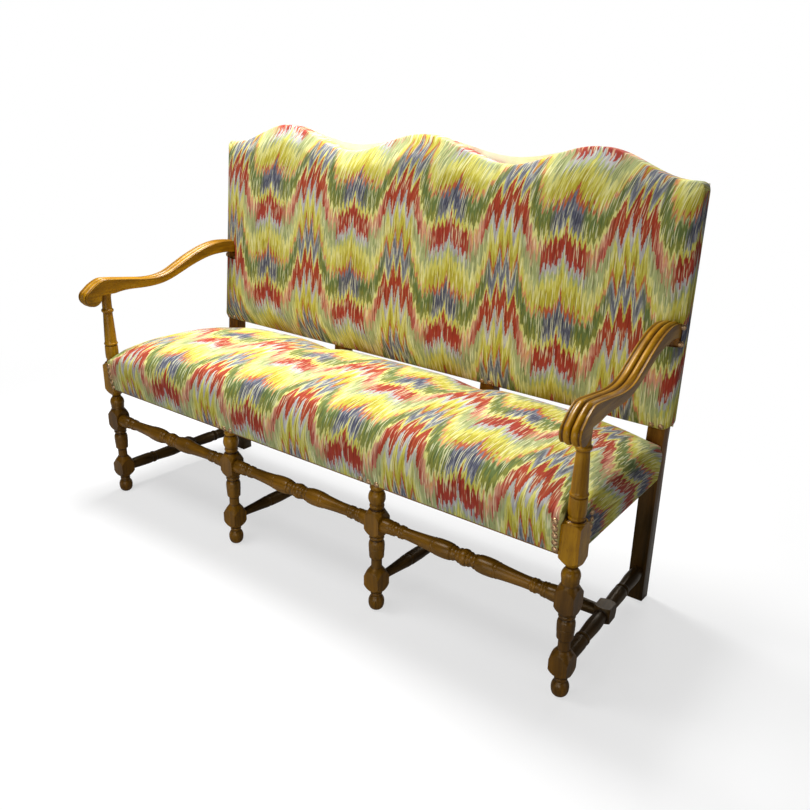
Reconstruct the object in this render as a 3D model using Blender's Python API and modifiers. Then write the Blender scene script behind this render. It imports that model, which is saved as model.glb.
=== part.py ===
"""A long open-armed sofa: turned legs and stretchers, scrolled arms, a domed seat and a back with three humps.

Metres, +Z up, +X to the sitter's left, the front faces -Y. The origin is on the floor under the middle.
"""
import bpy
import bmesh
from math import atan2, cos, pi, radians, sin, sqrt, tan
from mathutils import Matrix, Vector

# Fits
gap = 0.0003
overrun = 0.02
tenon_length = 0.016
short_tenon_length = 0.0096
tenon_radius = 0.009
rail_tenon_thickness = 0.012
tenon_height_share = 0.55

# Legs
leg_spacing = 0.52
leg_block_side = 0.045
turning_radius = 0.020
lower_block_bottom = 0.050
lower_block_top = 0.1205
upper_block_bottom = 0.2114
upper_block_top = 0.280
seat_block_bottom = 0.322
seat_block_top = 0.4275
arm_post_top = 0.6244
arm_tenon_radius = 0.007
arm_tenon_length = 0.018

# Rear legs and back posts
rear_leg_y = 0.4546
rear_leg_x = 0.7505
back_upright_x = 0.267
rear_post_width = 0.043
rear_post_depth = 0.036
rake_height = 0.440
rake = radians(4.5)

# Stretchers
stretcher_height = 0.0815
front_stretcher_height = 0.244
stretcher_block_side = 0.040
stretcher_block_length = 0.052
stretcher_radius = 0.0175

# Seat frame
rail_bottom = 0.350
rail_height = 0.075
rail_thickness = 0.034
rail_setback = 0.0025
cross_rail_inset = 0.015
side_rail_front_inset = 0.011
side_rail_rear_outset = 0.0025
webbing_thickness = 0.0015
webbing_reach = 0.010
dust_cover_thickness = 0.001
dust_cover_reach = 0.012
seat_band_counts = (9, 3)
back_band_counts = (8, 3)
band_share = 0.62

# Seat upholstery
cloth_thickness = 0.0015
seat_front_overhang = 0.0150
seat_side_overhang = 0.0065
seat_rear_clearance = 0.0025
seat_skirt_tuck = 0.0115
seat_front_hem_rise = 0.004
seat_side_hem_drop = 0.003
seat_rim_rise = 0.015
seat_crown = 0.078
dome_power = 4
seat_front_root = 0.38
seat_side_root = 0.40
seat_rear_root = 0.60

# Back
top_rail_depth = 0.070
bottom_rail_width = 0.0525
bottom_rail_tenon_width = 0.0175
back_bottom_rise = 0.0374
back_bottom_overhang = 0.010
back_top_overhang = 0.0025
back_corner_radius = 0.020
back_hump = 1.112
back_dip = 1.053
back_dip_x = 0.262
back_hump_x = 0.513
back_ear_x = 0.735
back_rim_forward = 0.0028
back_crown = 0.018
back_root = 0.30
lining_dip = 1.076
lining_inset = 0.004

# Arms
arm_width = 0.046
arm_rise = 0.105
arm_edge_round = 0.0046
arm_joint_share = 0.77
scroll_radius = 0.0265
scroll_forward = 0.0505
scroll_drop = 0.0045
scroll_start = radians(128)
scroll_turn = radians(240)
scroll_heel_share = 0.8
arm_rear_tenon_width = 0.018
arm_rear_tenon_height = 0.020

# Nails
nail_radius = 0.0045
nail_height = 0.0030
nails_in_column = 5

# Facets
leg_facets = 10
tenon_facets = 8
nail_facets = 6
nail_rings = 4
curve_steps = 2
scroll_steps = 8
seat_columns = 22
seat_rows = 10
skirt_steps = 2
back_columns = 32
back_rows = 6
corner_share = 0.7
crowding_share = 0.5
smooth_angle = radians(40)
bevel_angle = radians(60)

# Turned shapes, as shares of each section's height and of its radius, from the floor end up
foot_shares = [(0, 0.60), (0.06, 0.80), (0.24, 0.98), (0.48, 1.01), (0.70, 0.90), (0.84, 0.78), (1, 0.84)]
vase_shares = [(0, 0.66), (0.06, 0.80), (0.11, 0.69), (0.24, 0.69), (0.50, 0.78), (0.70, 0.92), (0.84, 1.0),
               (0.93, 0.84), (0.945, 1.17), (1, 1.20)]
ball_shares = [(0, 1.16), (0.07, 1.10), (0.09, 0.88), (0.48, 1.0), (0.70, 0.88), (0.80, 0.70), (1, 0.57)]
rail_ball_shares = [(0, 1.16), (0.05, 1.10), (0.07, 0.88), (0.45, 1.0), (0.70, 0.86), (0.80, 0.74), (0.95, 0.88),
                    (1, 0.80)]
post_shares = [(0, 1.20), (0.014, 1.12), (0.018, 0.88), (0.055, 0.84), (0.08, 0.94), (0.16, 0.97), (0.25, 0.95),
               (0.262, 0.86), (0.28, 0.98), (0.306, 0.90), (0.50, 0.80), (0.72, 0.69), (0.74, 0.84),
               (0.775, 0.88), (0.79, 0.72), (0.94, 0.70), (1, 0.78)]
block_low_shares = [(0, 0.55), (0.06, 0.78), (0.14, 1.0)]
block_high_shares = [(0.88, 1.0), (0.96, 0.82), (1, 0.60)]
seat_block_low_shares = [(0, 0.36), (0.10, 0.66), (0.24, 1.0)]
seat_block_high_shares = [(0.93, 1.0), (0.97, 0.86), (1, 0.74)]
front_stretcher_shares = [(0, 0.90), (0.03, 0.88), (0.04, 0.72), (0.08, 0.84), (0.18, 0.98), (0.24, 1.02),
                          (0.34, 0.93), (0.48, 0.78), (0.60, 0.72), (0.72, 0.78), (0.75, 0.71), (0.80, 0.72),
                          (0.88, 0.88), (1, 0.86)]
span_shares = [(0, 0.84), (0.05, 0.96), (0.12, 0.90), (0.15, 0.72), (0.22, 0.72), (0.50, 0.98), (0.78, 0.72),
               (0.85, 0.72), (0.88, 0.90), (0.95, 0.96), (1, 0.84)]
long_span_shares = [(0, 0.84), (0.04, 0.96), (0.09, 0.88), (0.11, 0.70), (0.34, 0.94), (0.44, 0.80), (0.50, 0.92),
                    (0.56, 0.80), (0.66, 0.94), (0.89, 0.70), (0.91, 0.88), (0.96, 0.96), (1, 0.84)]

# Arm outlines, as shares of the arm's length behind its post and of its rise over the post's top
arm_top_shares = [(1, 0.94), (0.93, 0.99), (0.86, 1.0), (0.78, 0.95), (0.70, 0.85), (0.61, 0.69), (0.53, 0.52),
                  (0.45, 0.355), (0.375, 0.275), (0.28, 0.272), (0.14, 0.358), (0, 0.444), (-0.048, 0.415),
                  (-0.098, 0.305)]
arm_under_shares = [(0.036, 0.0), (0.060, 0.075), (0.14, 0.085), (0.27, 0.06), (0.37, 0.09), (0.45, 0.17),
                    (0.53, 0.30), (0.61, 0.44), (0.70, 0.57), (0.78, 0.65), (0.86, 0.675), (0.93, 0.66), (1, 0.60)]
arm_notch_shares = (0.59, 1.01)

wood_colour = (0.36, 0.20, 0.055, 1)
dark_wood_colour = (0.16, 0.09, 0.035, 1)
cover_colour = (0.62, 0.52, 0.24, 1)
cream_colour = (0.78, 0.71, 0.52, 1)
padding_colour = (0.55, 0.50, 0.42, 1)
webbing_colour = (0.42, 0.33, 0.20, 1)
black_cloth_colour = (0.05, 0.05, 0.05, 1)
brass_colour = (0.45, 0.30, 0.12, 1)

side_view = Matrix(((0, 0, 1, 0), (1, 0, 0, 0), (0, 1, 0, 0), (0, 0, 0, 1)))
front_view = Matrix(((1, 0, 0, 0), (0, 0, -1, 0), (0, 1, 0, 0), (0, 0, 0, 1)))


def back_point(depth, height):
    """Y and Z of a point in the raked back: its depth behind the posts' front face and its height along it."""
    y = rear_leg_y + depth * cos(rake) + height * sin(rake)
    return y, rake_height - depth * sin(rake) + height * cos(rake)


def back_height(z):
    """The height along the raked back of a level Z on the posts' front face."""
    return (z - rake_height) / cos(rake)


# Places worked out from the sizes above
half_block = leg_block_side / 2
outer_leg_x = 1.5 * leg_spacing
inner_leg_x = 0.5 * leg_spacing
rail_top = rail_bottom + rail_height
seat_rim_height = rail_top + seat_rim_rise
seat_front_skirt_bottom = rail_bottom + seat_front_hem_rise
seat_side_skirt_bottom = rail_bottom - seat_side_hem_drop
back_bottom = rake_height + back_bottom_rise
rail_middle = rail_bottom + rail_height / 2
rail_tenon_half = rail_height * tenon_height_share / 2
tenon_low = rail_middle - rail_tenon_half
tenon_high = rail_middle + rail_tenon_half
seat_base = rail_top + webbing_thickness + 2 * gap
front_rail_face = -half_block + rail_setback
side_rail_front_x = outer_leg_x - side_rail_front_inset
side_rail_rear_x = rear_leg_x + side_rail_rear_outset
stretcher_block_y = (half_block + rear_leg_y) / 2
scroll_y = -scroll_forward
scroll_z = arm_post_top - scroll_drop
lining_back = rear_post_depth + gap + cloth_thickness
side_askew = (side_rail_front_x - side_rail_rear_x) / (rear_leg_y - half_block)
side_tuck_limit = seat_side_overhang - cloth_thickness - 2 * gap
stand_off = stretcher_radius * (outer_leg_x - rear_leg_x) / rear_leg_y + 2 * gap
stile_top = back_height(back_dip) - top_rail_depth
bottom_rail_low = back_height(back_bottom) + cloth_thickness + 2 * gap
bottom_rail_high = bottom_rail_low + bottom_rail_width
rear_post_inner = rear_leg_x - rear_post_width / 2
rear_post_outer = rear_leg_x + rear_post_width / 2
back_bottom_half_width = rear_post_outer + back_bottom_overhang
back_top_half_width = rear_post_outer + back_top_overhang
post_places = (-rear_leg_x, -back_upright_x, back_upright_x, rear_leg_x)
arm_joint_z = arm_post_top + arm_joint_share * arm_rise
arm_length = back_point(0, back_height(arm_joint_z))[0] - 3 * gap
arm_skew = atan2(outer_leg_x - rear_leg_x, arm_length)
front_reach = (scroll_forward + scroll_radius) * cos(arm_skew) + (arm_width / 2 - arm_edge_round) * sin(arm_skew)
rear_reach = back_point(lining_back, back_height(back_hump) - lining_inset)[0]
centre_y = (rear_reach - front_reach) / 2


def clear_scene():
    """Remove every object, so the script starts from nothing."""
    for item in list(bpy.data.objects):
        bpy.data.objects.remove(item, do_unlink=True)


def make_collection(name):
    collection = bpy.data.collections.new(name)
    bpy.context.scene.collection.children.link(collection)
    return collection


def make_material(name, colour, roughness, metallic=0.0):
    material = bpy.data.materials.new(name)
    material.use_nodes = True
    shader = material.node_tree.nodes["Principled BSDF"]
    shader.inputs["Base Color"].default_value = colour
    shader.inputs["Roughness"].default_value = roughness
    shader.inputs["Metallic"].default_value = metallic
    return material


clear_scene()
parts = make_collection("sofa")
cutters = make_collection("cutters")
sofa_frame = bpy.data.objects.new("sofa_frame", None)
sofa_frame.location = (0, -centre_y, 0)
parts.objects.link(sofa_frame)
back_frame = bpy.data.objects.new("back_frame", None)
back_frame.parent = sofa_frame
back_frame.location = (0, rear_leg_y, rake_height)
back_frame.rotation_euler = (-rake, 0, 0)
parts.objects.link(back_frame)


def add_object(name, mesh, colour=None, roughness=0.5, metallic=0.0, parent=None, smooth=False):
    """An object in the frame; with a colour it is a piece of the sofa, without one a cutter."""
    item = bpy.data.objects.new(name, mesh)
    item.parent = parent or sofa_frame
    if colour:
        parts.objects.link(item)
        mesh.materials.clear()
        mesh.materials.append(make_material(name, colour, roughness, metallic))
        if smooth:
            mesh.shade_smooth()
            mesh.set_sharp_from_angle(angle=smooth_angle)
    else:
        cutters.objects.link(item)
        item.hide_render = True
        item.display_type = "WIRE"
    return item


def mesh_from(bm, name):
    mesh = bpy.data.meshes.new(name)
    bmesh.ops.recalc_face_normals(bm, faces=bm.faces)
    bm.to_mesh(mesh)
    bm.free()
    return mesh


def box_mesh(name, low, high, front_shift=0.0, rear_shift=0.0):
    """A box between two corners; its front and rear ends can be shifted along X to lie askew."""
    bm = bmesh.new()
    bmesh.ops.create_cube(bm, size=1.0)
    for vert in bm.verts:
        share = vert.co + Vector((0.5, 0.5, 0.5))
        shift = front_shift + (rear_shift - front_shift) * share.y
        vert.co = [low[i] + (high[i] - low[i]) * share[i] for i in range(3)]
        vert.co.x += shift
    return mesh_from(bm, name)


def box_cutter(name, low, high, parent=None, front_shift=0.0, rear_shift=0.0):
    return add_object(name, box_mesh(name, low, high, front_shift, rear_shift), parent=parent)


def cylinder_cutter(name, start, end, radius, parent=None):
    """A round cutter along the line from start to end."""
    start, end = Vector(start), Vector(end)
    bm = bmesh.new()
    bmesh.ops.create_cone(bm, cap_ends=True, segments=tenon_facets, radius1=radius, radius2=radius,
                          depth=(end - start).length)
    item = add_object(name, mesh_from(bm, name), parent=parent)
    item.location = (start + end) / 2
    item.rotation_euler = (end - start).to_track_quat("Z", "Y").to_euler()
    return item


def boolean(item, cutter, operation="DIFFERENCE"):
    modifier = item.modifiers.new(cutter.name, "BOOLEAN")
    modifier.operation = operation
    modifier.solver = "EXACT"
    modifier.object = cutter
    return modifier


def section(shares, low, high, radius):
    """A stretch of turned profile as (radius, height) points, from its shares."""
    return [(share_r * radius, low + share_h * (high - low)) for share_h, share_r in shares]


def block_section(low_shares, high_shares, low, high, side):
    """The stretch of profile whose corners a square block keeps."""
    return section(low_shares + high_shares, low, high, side / sqrt(2) / cos(pi / leg_facets))


def turned(name, profile, square_side=None, **looks):
    """A turned piece: the profile, from low to high, is screwed round Z and trimmed to a square bar."""
    points = [(0, profile[-1][1])] + profile[::-1] + [(0, profile[0][1])]
    mesh = bpy.data.meshes.new(name)
    mesh.from_pydata([(r, 0, z) for r, z in points], [(i, i + 1) for i in range(len(points) - 1)], [])
    item = add_object(name, mesh, **looks)
    screw = item.modifiers.new("turning", "SCREW")
    screw.axis = "Z"
    screw.angle = 2 * pi
    screw.steps = screw.render_steps = leg_facets
    screw.use_merge_vertices = True
    screw.merge_threshold = gap / 3
    screw.use_smooth_shade = True
    if square_side:
        half = square_side / 2
        low, high = profile[0][1] - overrun, profile[-1][1] + overrun
        bar = box_cutter(name + "_bar", (-half, -half, low), (half, half, high), parent=item)
        boolean(item, bar, "INTERSECT")
    return item


def lay_along(item, start, end):
    """Lay a piece that was turned round Z along the line from start to end, with one flat side up."""
    start, end = Vector(start), Vector(end)
    along = (end - start).normalized()
    across = along.cross(Vector((0, 0, 1))).normalized()
    item.rotation_euler = Matrix((across, across.cross(-along), along)).transposed().to_euler()
    item.location = start


def with_tenons(profile):
    """Give a turned profile a round tenon at each end."""
    low, high = profile[0][1], profile[-1][1]
    first = [(tenon_radius, low - tenon_length), (tenon_radius, low)]
    last = [(tenon_radius, high), (tenon_radius, high + tenon_length)]
    return first + profile + last


def mortise(name, mouth, inward, radius=tenon_radius, length=tenon_length):
    """The cutter of a round mortise that opens at mouth and runs inward."""
    inward = Vector(inward).normalized()
    mouth = Vector(mouth)
    clear_radius = (radius + gap) / cos(pi / tenon_facets)
    return cylinder_cutter(name, mouth - inward * overrun / 2, mouth + inward * (length + 2 * gap), clear_radius)


def side_line(y):
    """The X of a side stretcher's axis at a given Y, on the right."""
    return outer_leg_x + (rear_leg_x - outer_leg_x) * y / rear_leg_y


def side_rail_line(y):
    """The X of a side seat rail's middle at a given Y, on the right."""
    share = (y - half_block) / (rear_leg_y - half_block)
    return side_rail_front_x + (side_rail_rear_x - side_rail_front_x) * share


def lower_leg_profile():
    """A front leg from its ball foot to the top of its upper block."""
    return (section(foot_shares, 0, lower_block_bottom, turning_radius)
            + block_section(block_low_shares, block_high_shares, lower_block_bottom, lower_block_top, leg_block_side)
            + section(vase_shares, lower_block_top, upper_block_bottom, turning_radius)
            + block_section(block_low_shares, block_high_shares, upper_block_bottom, upper_block_top, leg_block_side))


def seat_rail_cutters(item, side):
    """Mortises in an outer front leg's seat block for the front rail and the side rail."""
    half = rail_tenon_thickness / 2 + gap
    middle_y = front_rail_face + rail_thickness / 2
    inner = outer_leg_x - half_block
    deep = tenon_length + 2 * gap
    xs = sorted((side * (inner - overrun), side * (inner + deep)))
    boolean(item, box_cutter(item.name + "_front_rail_mortise", (xs[0], middle_y - half, tenon_low - gap),
                             (xs[1], middle_y + half, tenon_high + gap)))
    boolean(item, side_rail_mortise(item.name, side, half_block - deep, half_block + overrun))


def side_rail_mortise(name, side, front, rear):
    """The cutter of a side seat rail's mortise, as askew as the rail."""
    half = rail_tenon_thickness / 2 + gap
    return box_cutter(name + "_side_rail_mortise", (-half, front, tenon_low - gap), (half, rear, tenon_high + gap),
                      front_shift=side * side_rail_line(front), rear_shift=side * side_rail_line(rear))


def build_outer_front_leg(name, side):
    """A front corner leg: ball foot, two stretcher blocks, seat block and turned arm post in one piece."""
    seat_block = block_section(seat_block_low_shares, seat_block_high_shares, seat_block_bottom, seat_block_top,
                               leg_block_side)
    profile = (lower_leg_profile()
               + section(ball_shares, upper_block_top, seat_block_bottom, turning_radius)
               + seat_block
               + section(post_shares, seat_block_top, arm_post_top, turning_radius)
               + [(arm_tenon_radius, arm_post_top), (arm_tenon_radius, arm_post_top + arm_tenon_length)])
    leg = turned(name, profile, leg_block_side, colour=wood_colour, roughness=0.35)
    x = side * outer_leg_x
    leg.location.x = x
    mouth = (x - side * half_block, 0, front_stretcher_height)
    boolean(leg, mortise(name + "_front_mortise", mouth, (side, 0, 0)))
    toward = Vector((side * (rear_leg_x - outer_leg_x), rear_leg_y, 0))
    mouth = (side * side_line(half_block), half_block, stretcher_height)
    boolean(leg, mortise(name + "_side_mortise", mouth, -toward))
    seat_rail_cutters(leg, side)
    return leg


def build_inner_front_leg(name, side):
    """A middle front leg, tenoned up into the front seat rail."""
    profile = (lower_leg_profile()
               + section(rail_ball_shares, upper_block_top, rail_bottom - gap, turning_radius)
               + [(tenon_radius, rail_bottom - gap), (tenon_radius, rail_bottom - gap + tenon_length)])
    leg = turned(name, profile, leg_block_side, colour=wood_colour, roughness=0.35)
    x = side * inner_leg_x
    leg.location.x = x
    for end in (-1, 1):
        mouth = (x + end * half_block, 0, front_stretcher_height)
        boolean(leg, mortise(f"{name}_front_mortise_{end}", mouth, (-end, 0, 0)))
    boolean(leg, mortise(name + "_short_mortise", (x, half_block, stretcher_height), (0, -1, 0)))
    return leg


def outline_piece(name, points, half_width, place, **looks):
    """A flat outline, closed and filled, extruded both ways and made a mesh that other modifiers can use."""
    curve = bpy.data.curves.new(name, "CURVE")
    curve.dimensions = "2D"
    curve.fill_mode = "BOTH"
    curve.extrude = half_width
    spline = curve.splines.new("POLY")
    spline.points.add(len(points) - 1)
    for point, (u, v) in zip(spline.points, points):
        point.co = (u, v, 0, 1)
    spline.use_cyclic_u = True
    guide = bpy.data.objects.new(name + "_outline", curve)
    parts.objects.link(guide)
    bpy.context.view_layer.update()
    mesh = bpy.data.meshes.new_from_object(guide.evaluated_get(bpy.context.evaluated_depsgraph_get()))
    bpy.data.objects.remove(guide, do_unlink=True)
    bm = bmesh.new()
    bm.from_mesh(mesh)
    bmesh.ops.remove_doubles(bm, verts=bm.verts, dist=gap / 10)
    bmesh.ops.recalc_face_normals(bm, faces=bm.faces)
    bm.to_mesh(mesh)
    bm.free()
    mesh.transform(place)
    return add_object(name, mesh, **looks)


def stile_outline(foot):
    """A post from its foot to the top rail, straight below the rake and leaning back above it."""
    front_top = back_point(0, stile_top)
    rear_top = back_point(rear_post_depth, stile_top)
    bend = rear_post_depth * tan(rake / 2)
    return [(rear_leg_y, foot), (rear_leg_y, rake_height), front_top, rear_top,
            (rear_leg_y + rear_post_depth, rake_height - bend), (rear_leg_y + rear_post_depth, foot)]


def top_tenon(name, x, grow=0.0):
    """The tenon at the head of a post, up into the top rail, grown by the clearance where it cuts its mortise."""
    half_x, half_y = rear_post_width * tenon_height_share / 2 + grow, rail_tenon_thickness / 2 + grow
    middle = rear_post_depth / 2
    return box_cutter(name, (x - half_x, middle - half_y, stile_top - overrun),
                      (x + half_x, middle + half_y, stile_top + tenon_length + grow), parent=back_frame)


def build_rear_leg(name, side):
    """A back corner leg that runs on up, raked, as the back's outer post."""
    x = side * rear_leg_x
    leg = outline_piece(name, stile_outline(0), rear_post_width / 2, Matrix.Translation((x, 0, 0)) @ side_view,
                        colour=dark_wood_colour, roughness=0.4)
    boolean(leg, top_tenon(name + "_tenon", x), "UNION")
    toward = (side * (rear_leg_x - outer_leg_x), rear_leg_y, 0)
    boolean(leg, mortise(name + "_stretcher_mortise", (x, rear_leg_y, stretcher_height), toward))
    boolean(leg, side_rail_mortise(name, side, rear_leg_y - overrun, rear_leg_y + tenon_length + 2 * gap))
    half = rail_tenon_thickness / 2 + gap
    middle = rear_leg_y + rear_post_depth / 2
    xs = sorted((side * (rear_post_inner - overrun), side * (rear_post_inner + short_tenon_length + gap)))
    boolean(leg, box_cutter(name + "_rear_rail_mortise", (xs[0], middle - half, tenon_low - gap),
                            (xs[1], middle + half, tenon_high + gap)))
    boolean(leg, bottom_rail_tenon(name + "_bottom_rail_mortise", side, gap))
    boolean(leg, arm_tenon(name + "_arm_mortise", side, gap))
    return leg


def bottom_rail_tenon(name, side, grow):
    """The end tenon of the back's bottom rail, grown by the clearance where it cuts its mortise."""
    middle = rear_post_depth / 2
    half = rail_tenon_thickness / 2 + grow
    low = bottom_rail_low + bottom_rail_tenon_width
    high = low + bottom_rail_tenon_width
    xs = sorted((side * (rear_post_inner - overrun), side * (rear_post_inner + short_tenon_length + grow)))
    return box_cutter(name, (xs[0], middle - half, low - grow), (xs[1], middle + half, high + grow),
                      parent=back_frame)


def build_back_upright(name, side):
    """A middle post of the back, standing on the rear seat rail."""
    x = side * back_upright_x
    upright = outline_piece(name, stile_outline(rail_top + gap), rear_post_width / 2,
                            Matrix.Translation((x, 0, 0)) @ side_view, colour=dark_wood_colour, roughness=0.4)
    boolean(upright, top_tenon(name + "_tenon", x), "UNION")
    boolean(upright, upright_tenon(name + "_foot", side, 0), "UNION")
    return upright


def upright_tenon(name, side, grow):
    """The tenon at the foot of a middle post, grown by the clearance where it cuts its mortise."""
    x = side * back_upright_x
    half = rear_post_width / 4 + grow
    front = rear_leg_y + rear_post_depth / 3 - grow
    rear = rear_leg_y + rear_post_depth * 2 / 3 + grow
    return box_cutter(name, (x - half, front, rail_top - tenon_length - grow), (x + half, rear, rail_top + overrun))


def build_front_stretcher(name, middle):
    """A turned front stretcher between two legs' upper blocks."""
    half = (leg_spacing - leg_block_side) / 2 - gap
    right = section(front_stretcher_shares, 0, half, turning_radius)
    profile = [(r, -h) for r, h in reversed(right[1:])] + right
    item = turned(name, with_tenons(profile), colour=wood_colour, roughness=0.35)
    lay_along(item, (middle, 0, front_stretcher_height), (middle + 1, 0, front_stretcher_height))
    return item


def build_side_stretcher(name, side):
    """A turned side stretcher with a square block at its middle for the long stretcher."""
    start = Vector((side * side_line(half_block), half_block, stretcher_height))
    end = Vector((side * side_line(rear_leg_y), rear_leg_y, stretcher_height))
    along = (end - start).normalized()
    length = (end - start).length - 2 * stand_off
    front, rear = (length - stretcher_block_length) / 2, (length + stretcher_block_length) / 2
    profile = (section(span_shares, 0, front, stretcher_radius)
               + block_section(block_low_shares, block_high_shares, front, rear, stretcher_block_side)
               + section(span_shares, rear, length, stretcher_radius))
    item = turned(name, with_tenons(profile), stretcher_block_side, colour=dark_wood_colour, roughness=0.4)
    lay_along(item, start + along * stand_off, end)
    x = side * (side_line(stretcher_block_y) - stretcher_block_side / 2)
    boolean(item, mortise(name + "_mortise", (x, stretcher_block_y, stretcher_height), (side, 0, 0),
                          length=short_tenon_length))
    return item


def build_short_stretcher(name, side):
    """A turned stretcher from a middle front leg back to the long stretcher."""
    x = side * inner_leg_x
    length = stretcher_block_y - stretcher_block_side / 2 - half_block - 2 * gap
    profile = with_tenons(section(span_shares, 0, length, stretcher_radius))
    item = turned(name, profile, colour=dark_wood_colour, roughness=0.4)
    lay_along(item, (x, half_block + gap, stretcher_height), (x, rear_leg_y, stretcher_height))
    return item


def build_long_stretcher():
    """The long middle stretcher, with a square block where each short stretcher meets it."""
    end = side_line(stretcher_block_y) - stretcher_block_side / 2 - stand_off
    low, high = inner_leg_x - stretcher_block_length / 2, inner_leg_x + stretcher_block_length / 2
    inner = section(long_span_shares, -low, low, stretcher_radius)
    outer = section(long_span_shares, high, end, stretcher_radius)
    block = block_section(block_low_shares, block_high_shares, low, high, stretcher_block_side)
    right = block + outer + [(tenon_radius, end), (tenon_radius, end + short_tenon_length)]
    left = [(r, -h) for r, h in reversed(right)]
    item = turned("long_stretcher", left + inner + right, stretcher_block_side, colour=dark_wood_colour,
                  roughness=0.4)
    lay_along(item, (0, stretcher_block_y, stretcher_height), (1, stretcher_block_y, stretcher_height))
    for side in (-1, 1):
        mouth = (side * inner_leg_x, stretcher_block_y - stretcher_block_side / 2, stretcher_height)
        boolean(item, mortise(f"long_stretcher_mortise_{side}", mouth, (0, 1, 0)))
    return item


def build_front_rail():
    """The front seat rail, tenoned into the corner legs and bored for the middle legs."""
    inner = outer_leg_x - half_block - gap
    rear = front_rail_face + rail_thickness
    mesh = box_mesh("front_seat_rail", (-inner, front_rail_face, rail_bottom), (inner, rear, rail_top))
    rail = add_object("front_seat_rail", mesh, colour=wood_colour, roughness=0.6)
    add_rail_tenons(rail, inner + tenon_length, front_rail_face + rail_thickness / 2)
    for side in (-1, 1):
        mouth = (side * inner_leg_x, 0, rail_bottom)
        boolean(rail, mortise(f"front_seat_rail_leg_mortise_{side}", mouth, (0, 0, 1)))
        boolean(rail, cross_rail_tenon(f"front_seat_rail_cross_mortise_{side}", side, gap))
    return rail


def add_rail_tenons(rail, reach, middle_y):
    """A long seat rail's two end tenons, as one bar through the rail."""
    half = rail_tenon_thickness / 2
    bar = box_cutter(rail.name + "_tenons", (-reach, middle_y - half, tenon_low), (reach, middle_y + half, tenon_high))
    boolean(rail, bar, "UNION")


def cross_rail_tenon(name, side, grow):
    """The through bar of a seat cross rail's two end tenons."""
    x = side * inner_leg_x
    half = rail_tenon_thickness / 2 + grow
    front = front_rail_face + rail_thickness - tenon_length / 2 - grow
    rear = rear_leg_y + tenon_length / 2 + grow
    return box_cutter(name, (x - half, front, tenon_low - grow), (x + half, rear, tenon_high + grow))


def build_cross_rail(name, side):
    """A seat bearer from the front rail to the rear rail."""
    x = side * inner_leg_x
    half = rail_thickness / 2
    front, rear = front_rail_face + rail_thickness + gap, rear_leg_y - gap
    low, high = rail_bottom + cross_rail_inset, rail_top - cross_rail_inset
    mesh = box_mesh(name, (x - half, front, low), (x + half, rear, high))
    rail = add_object(name, mesh, colour=wood_colour, roughness=0.6)
    boolean(rail, cross_rail_tenon(name + "_tenons", side, 0), "UNION")
    return rail


def build_side_rail(name, side):
    """A side seat rail, a little askew because the seat narrows toward the back."""
    front, rear = half_block + gap, rear_leg_y - gap
    half = rail_thickness / 2
    mesh = box_mesh(name, (-half, front, rail_bottom), (half, rear, rail_top),
                    side * side_rail_line(front), side * side_rail_line(rear))
    rail = add_object(name, mesh, colour=wood_colour, roughness=0.6)
    half = rail_tenon_thickness / 2
    front, rear = front - tenon_length, rear + tenon_length
    bar = box_cutter(name + "_tenons", (-half, front, tenon_low), (half, rear, tenon_high),
                     front_shift=side * side_rail_line(front), rear_shift=side * side_rail_line(rear))
    boolean(rail, bar, "UNION")
    return rail


def build_rear_rail():
    """The rear seat rail between the rear legs, mortised for the middle posts."""
    inner = rear_post_inner - gap
    rear = rear_leg_y + rear_post_depth
    mesh = box_mesh("rear_seat_rail", (-inner, rear_leg_y, rail_bottom), (inner, rear, rail_top))
    rail = add_object("rear_seat_rail", mesh, colour=dark_wood_colour, roughness=0.6)
    add_rail_tenons(rail, inner + short_tenon_length, rear_leg_y + rear_post_depth / 2)
    for side in (-1, 1):
        boolean(rail, upright_tenon(f"rear_seat_rail_mortise_{side}", side, gap))
        boolean(rail, cross_rail_tenon(f"rear_seat_rail_cross_mortise_{side}", side, gap))
    return rail


def wave(share):
    """A smooth step from 1 at share 0 to 0 at share 1."""
    return (1 + cos(pi * min(max(share, 0), 1))) / 2


def back_top(x, dip):
    """The back's top outline: three humps, two dips and a flat ear at each end, as a level Z."""
    x = abs(x)
    if x < back_dip_x:
        return dip + (back_hump - dip) * wave(x / back_dip_x)
    if x < back_hump_x:
        return dip + (back_hump - dip) * wave((back_hump_x - x) / (back_hump_x - back_dip_x))
    return back_dip + (back_hump - back_dip) * wave((x - back_hump_x) / (back_ear_x - back_hump_x))


def back_top_line(grow, dip):
    """The back's top outline as points, from the right end to the left."""
    return [back_plan(u, 1, grow, dip) for u in reversed(back_across())]


def build_top_rail():
    """The back's shaped top rail over the posts' heads."""
    low = stile_top + gap
    top = back_top_line(-cloth_thickness - 5 * gap, back_dip)
    points = [(top[-1][0], low), (top[0][0], low)] + top
    shift = Matrix.Translation((0, rear_post_depth / 2, 0))
    rail = outline_piece("back_top_rail", points, rear_post_depth / 2, shift @ front_view, colour=dark_wood_colour,
                         roughness=0.6, parent=back_frame)
    for x in post_places:
        boolean(rail, top_tenon(f"back_top_rail_mortise_{x:.2f}", x, gap))
    return rail


def build_bottom_rail():
    """The back's bottom rail, between the outer posts and housed round the middle ones."""
    inner = rear_post_inner - gap
    mesh = box_mesh("back_bottom_rail", (-inner, rear_post_depth / 4, bottom_rail_low),
                    (inner, rear_post_depth * 3 / 4, bottom_rail_high))
    rail = add_object("back_bottom_rail", mesh, colour=dark_wood_colour, roughness=0.6, parent=back_frame)
    for side in (-1, 1):
        boolean(rail, bottom_rail_tenon(f"back_bottom_rail_tenon_{side}", side, 0), "UNION")
    return rail


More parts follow.
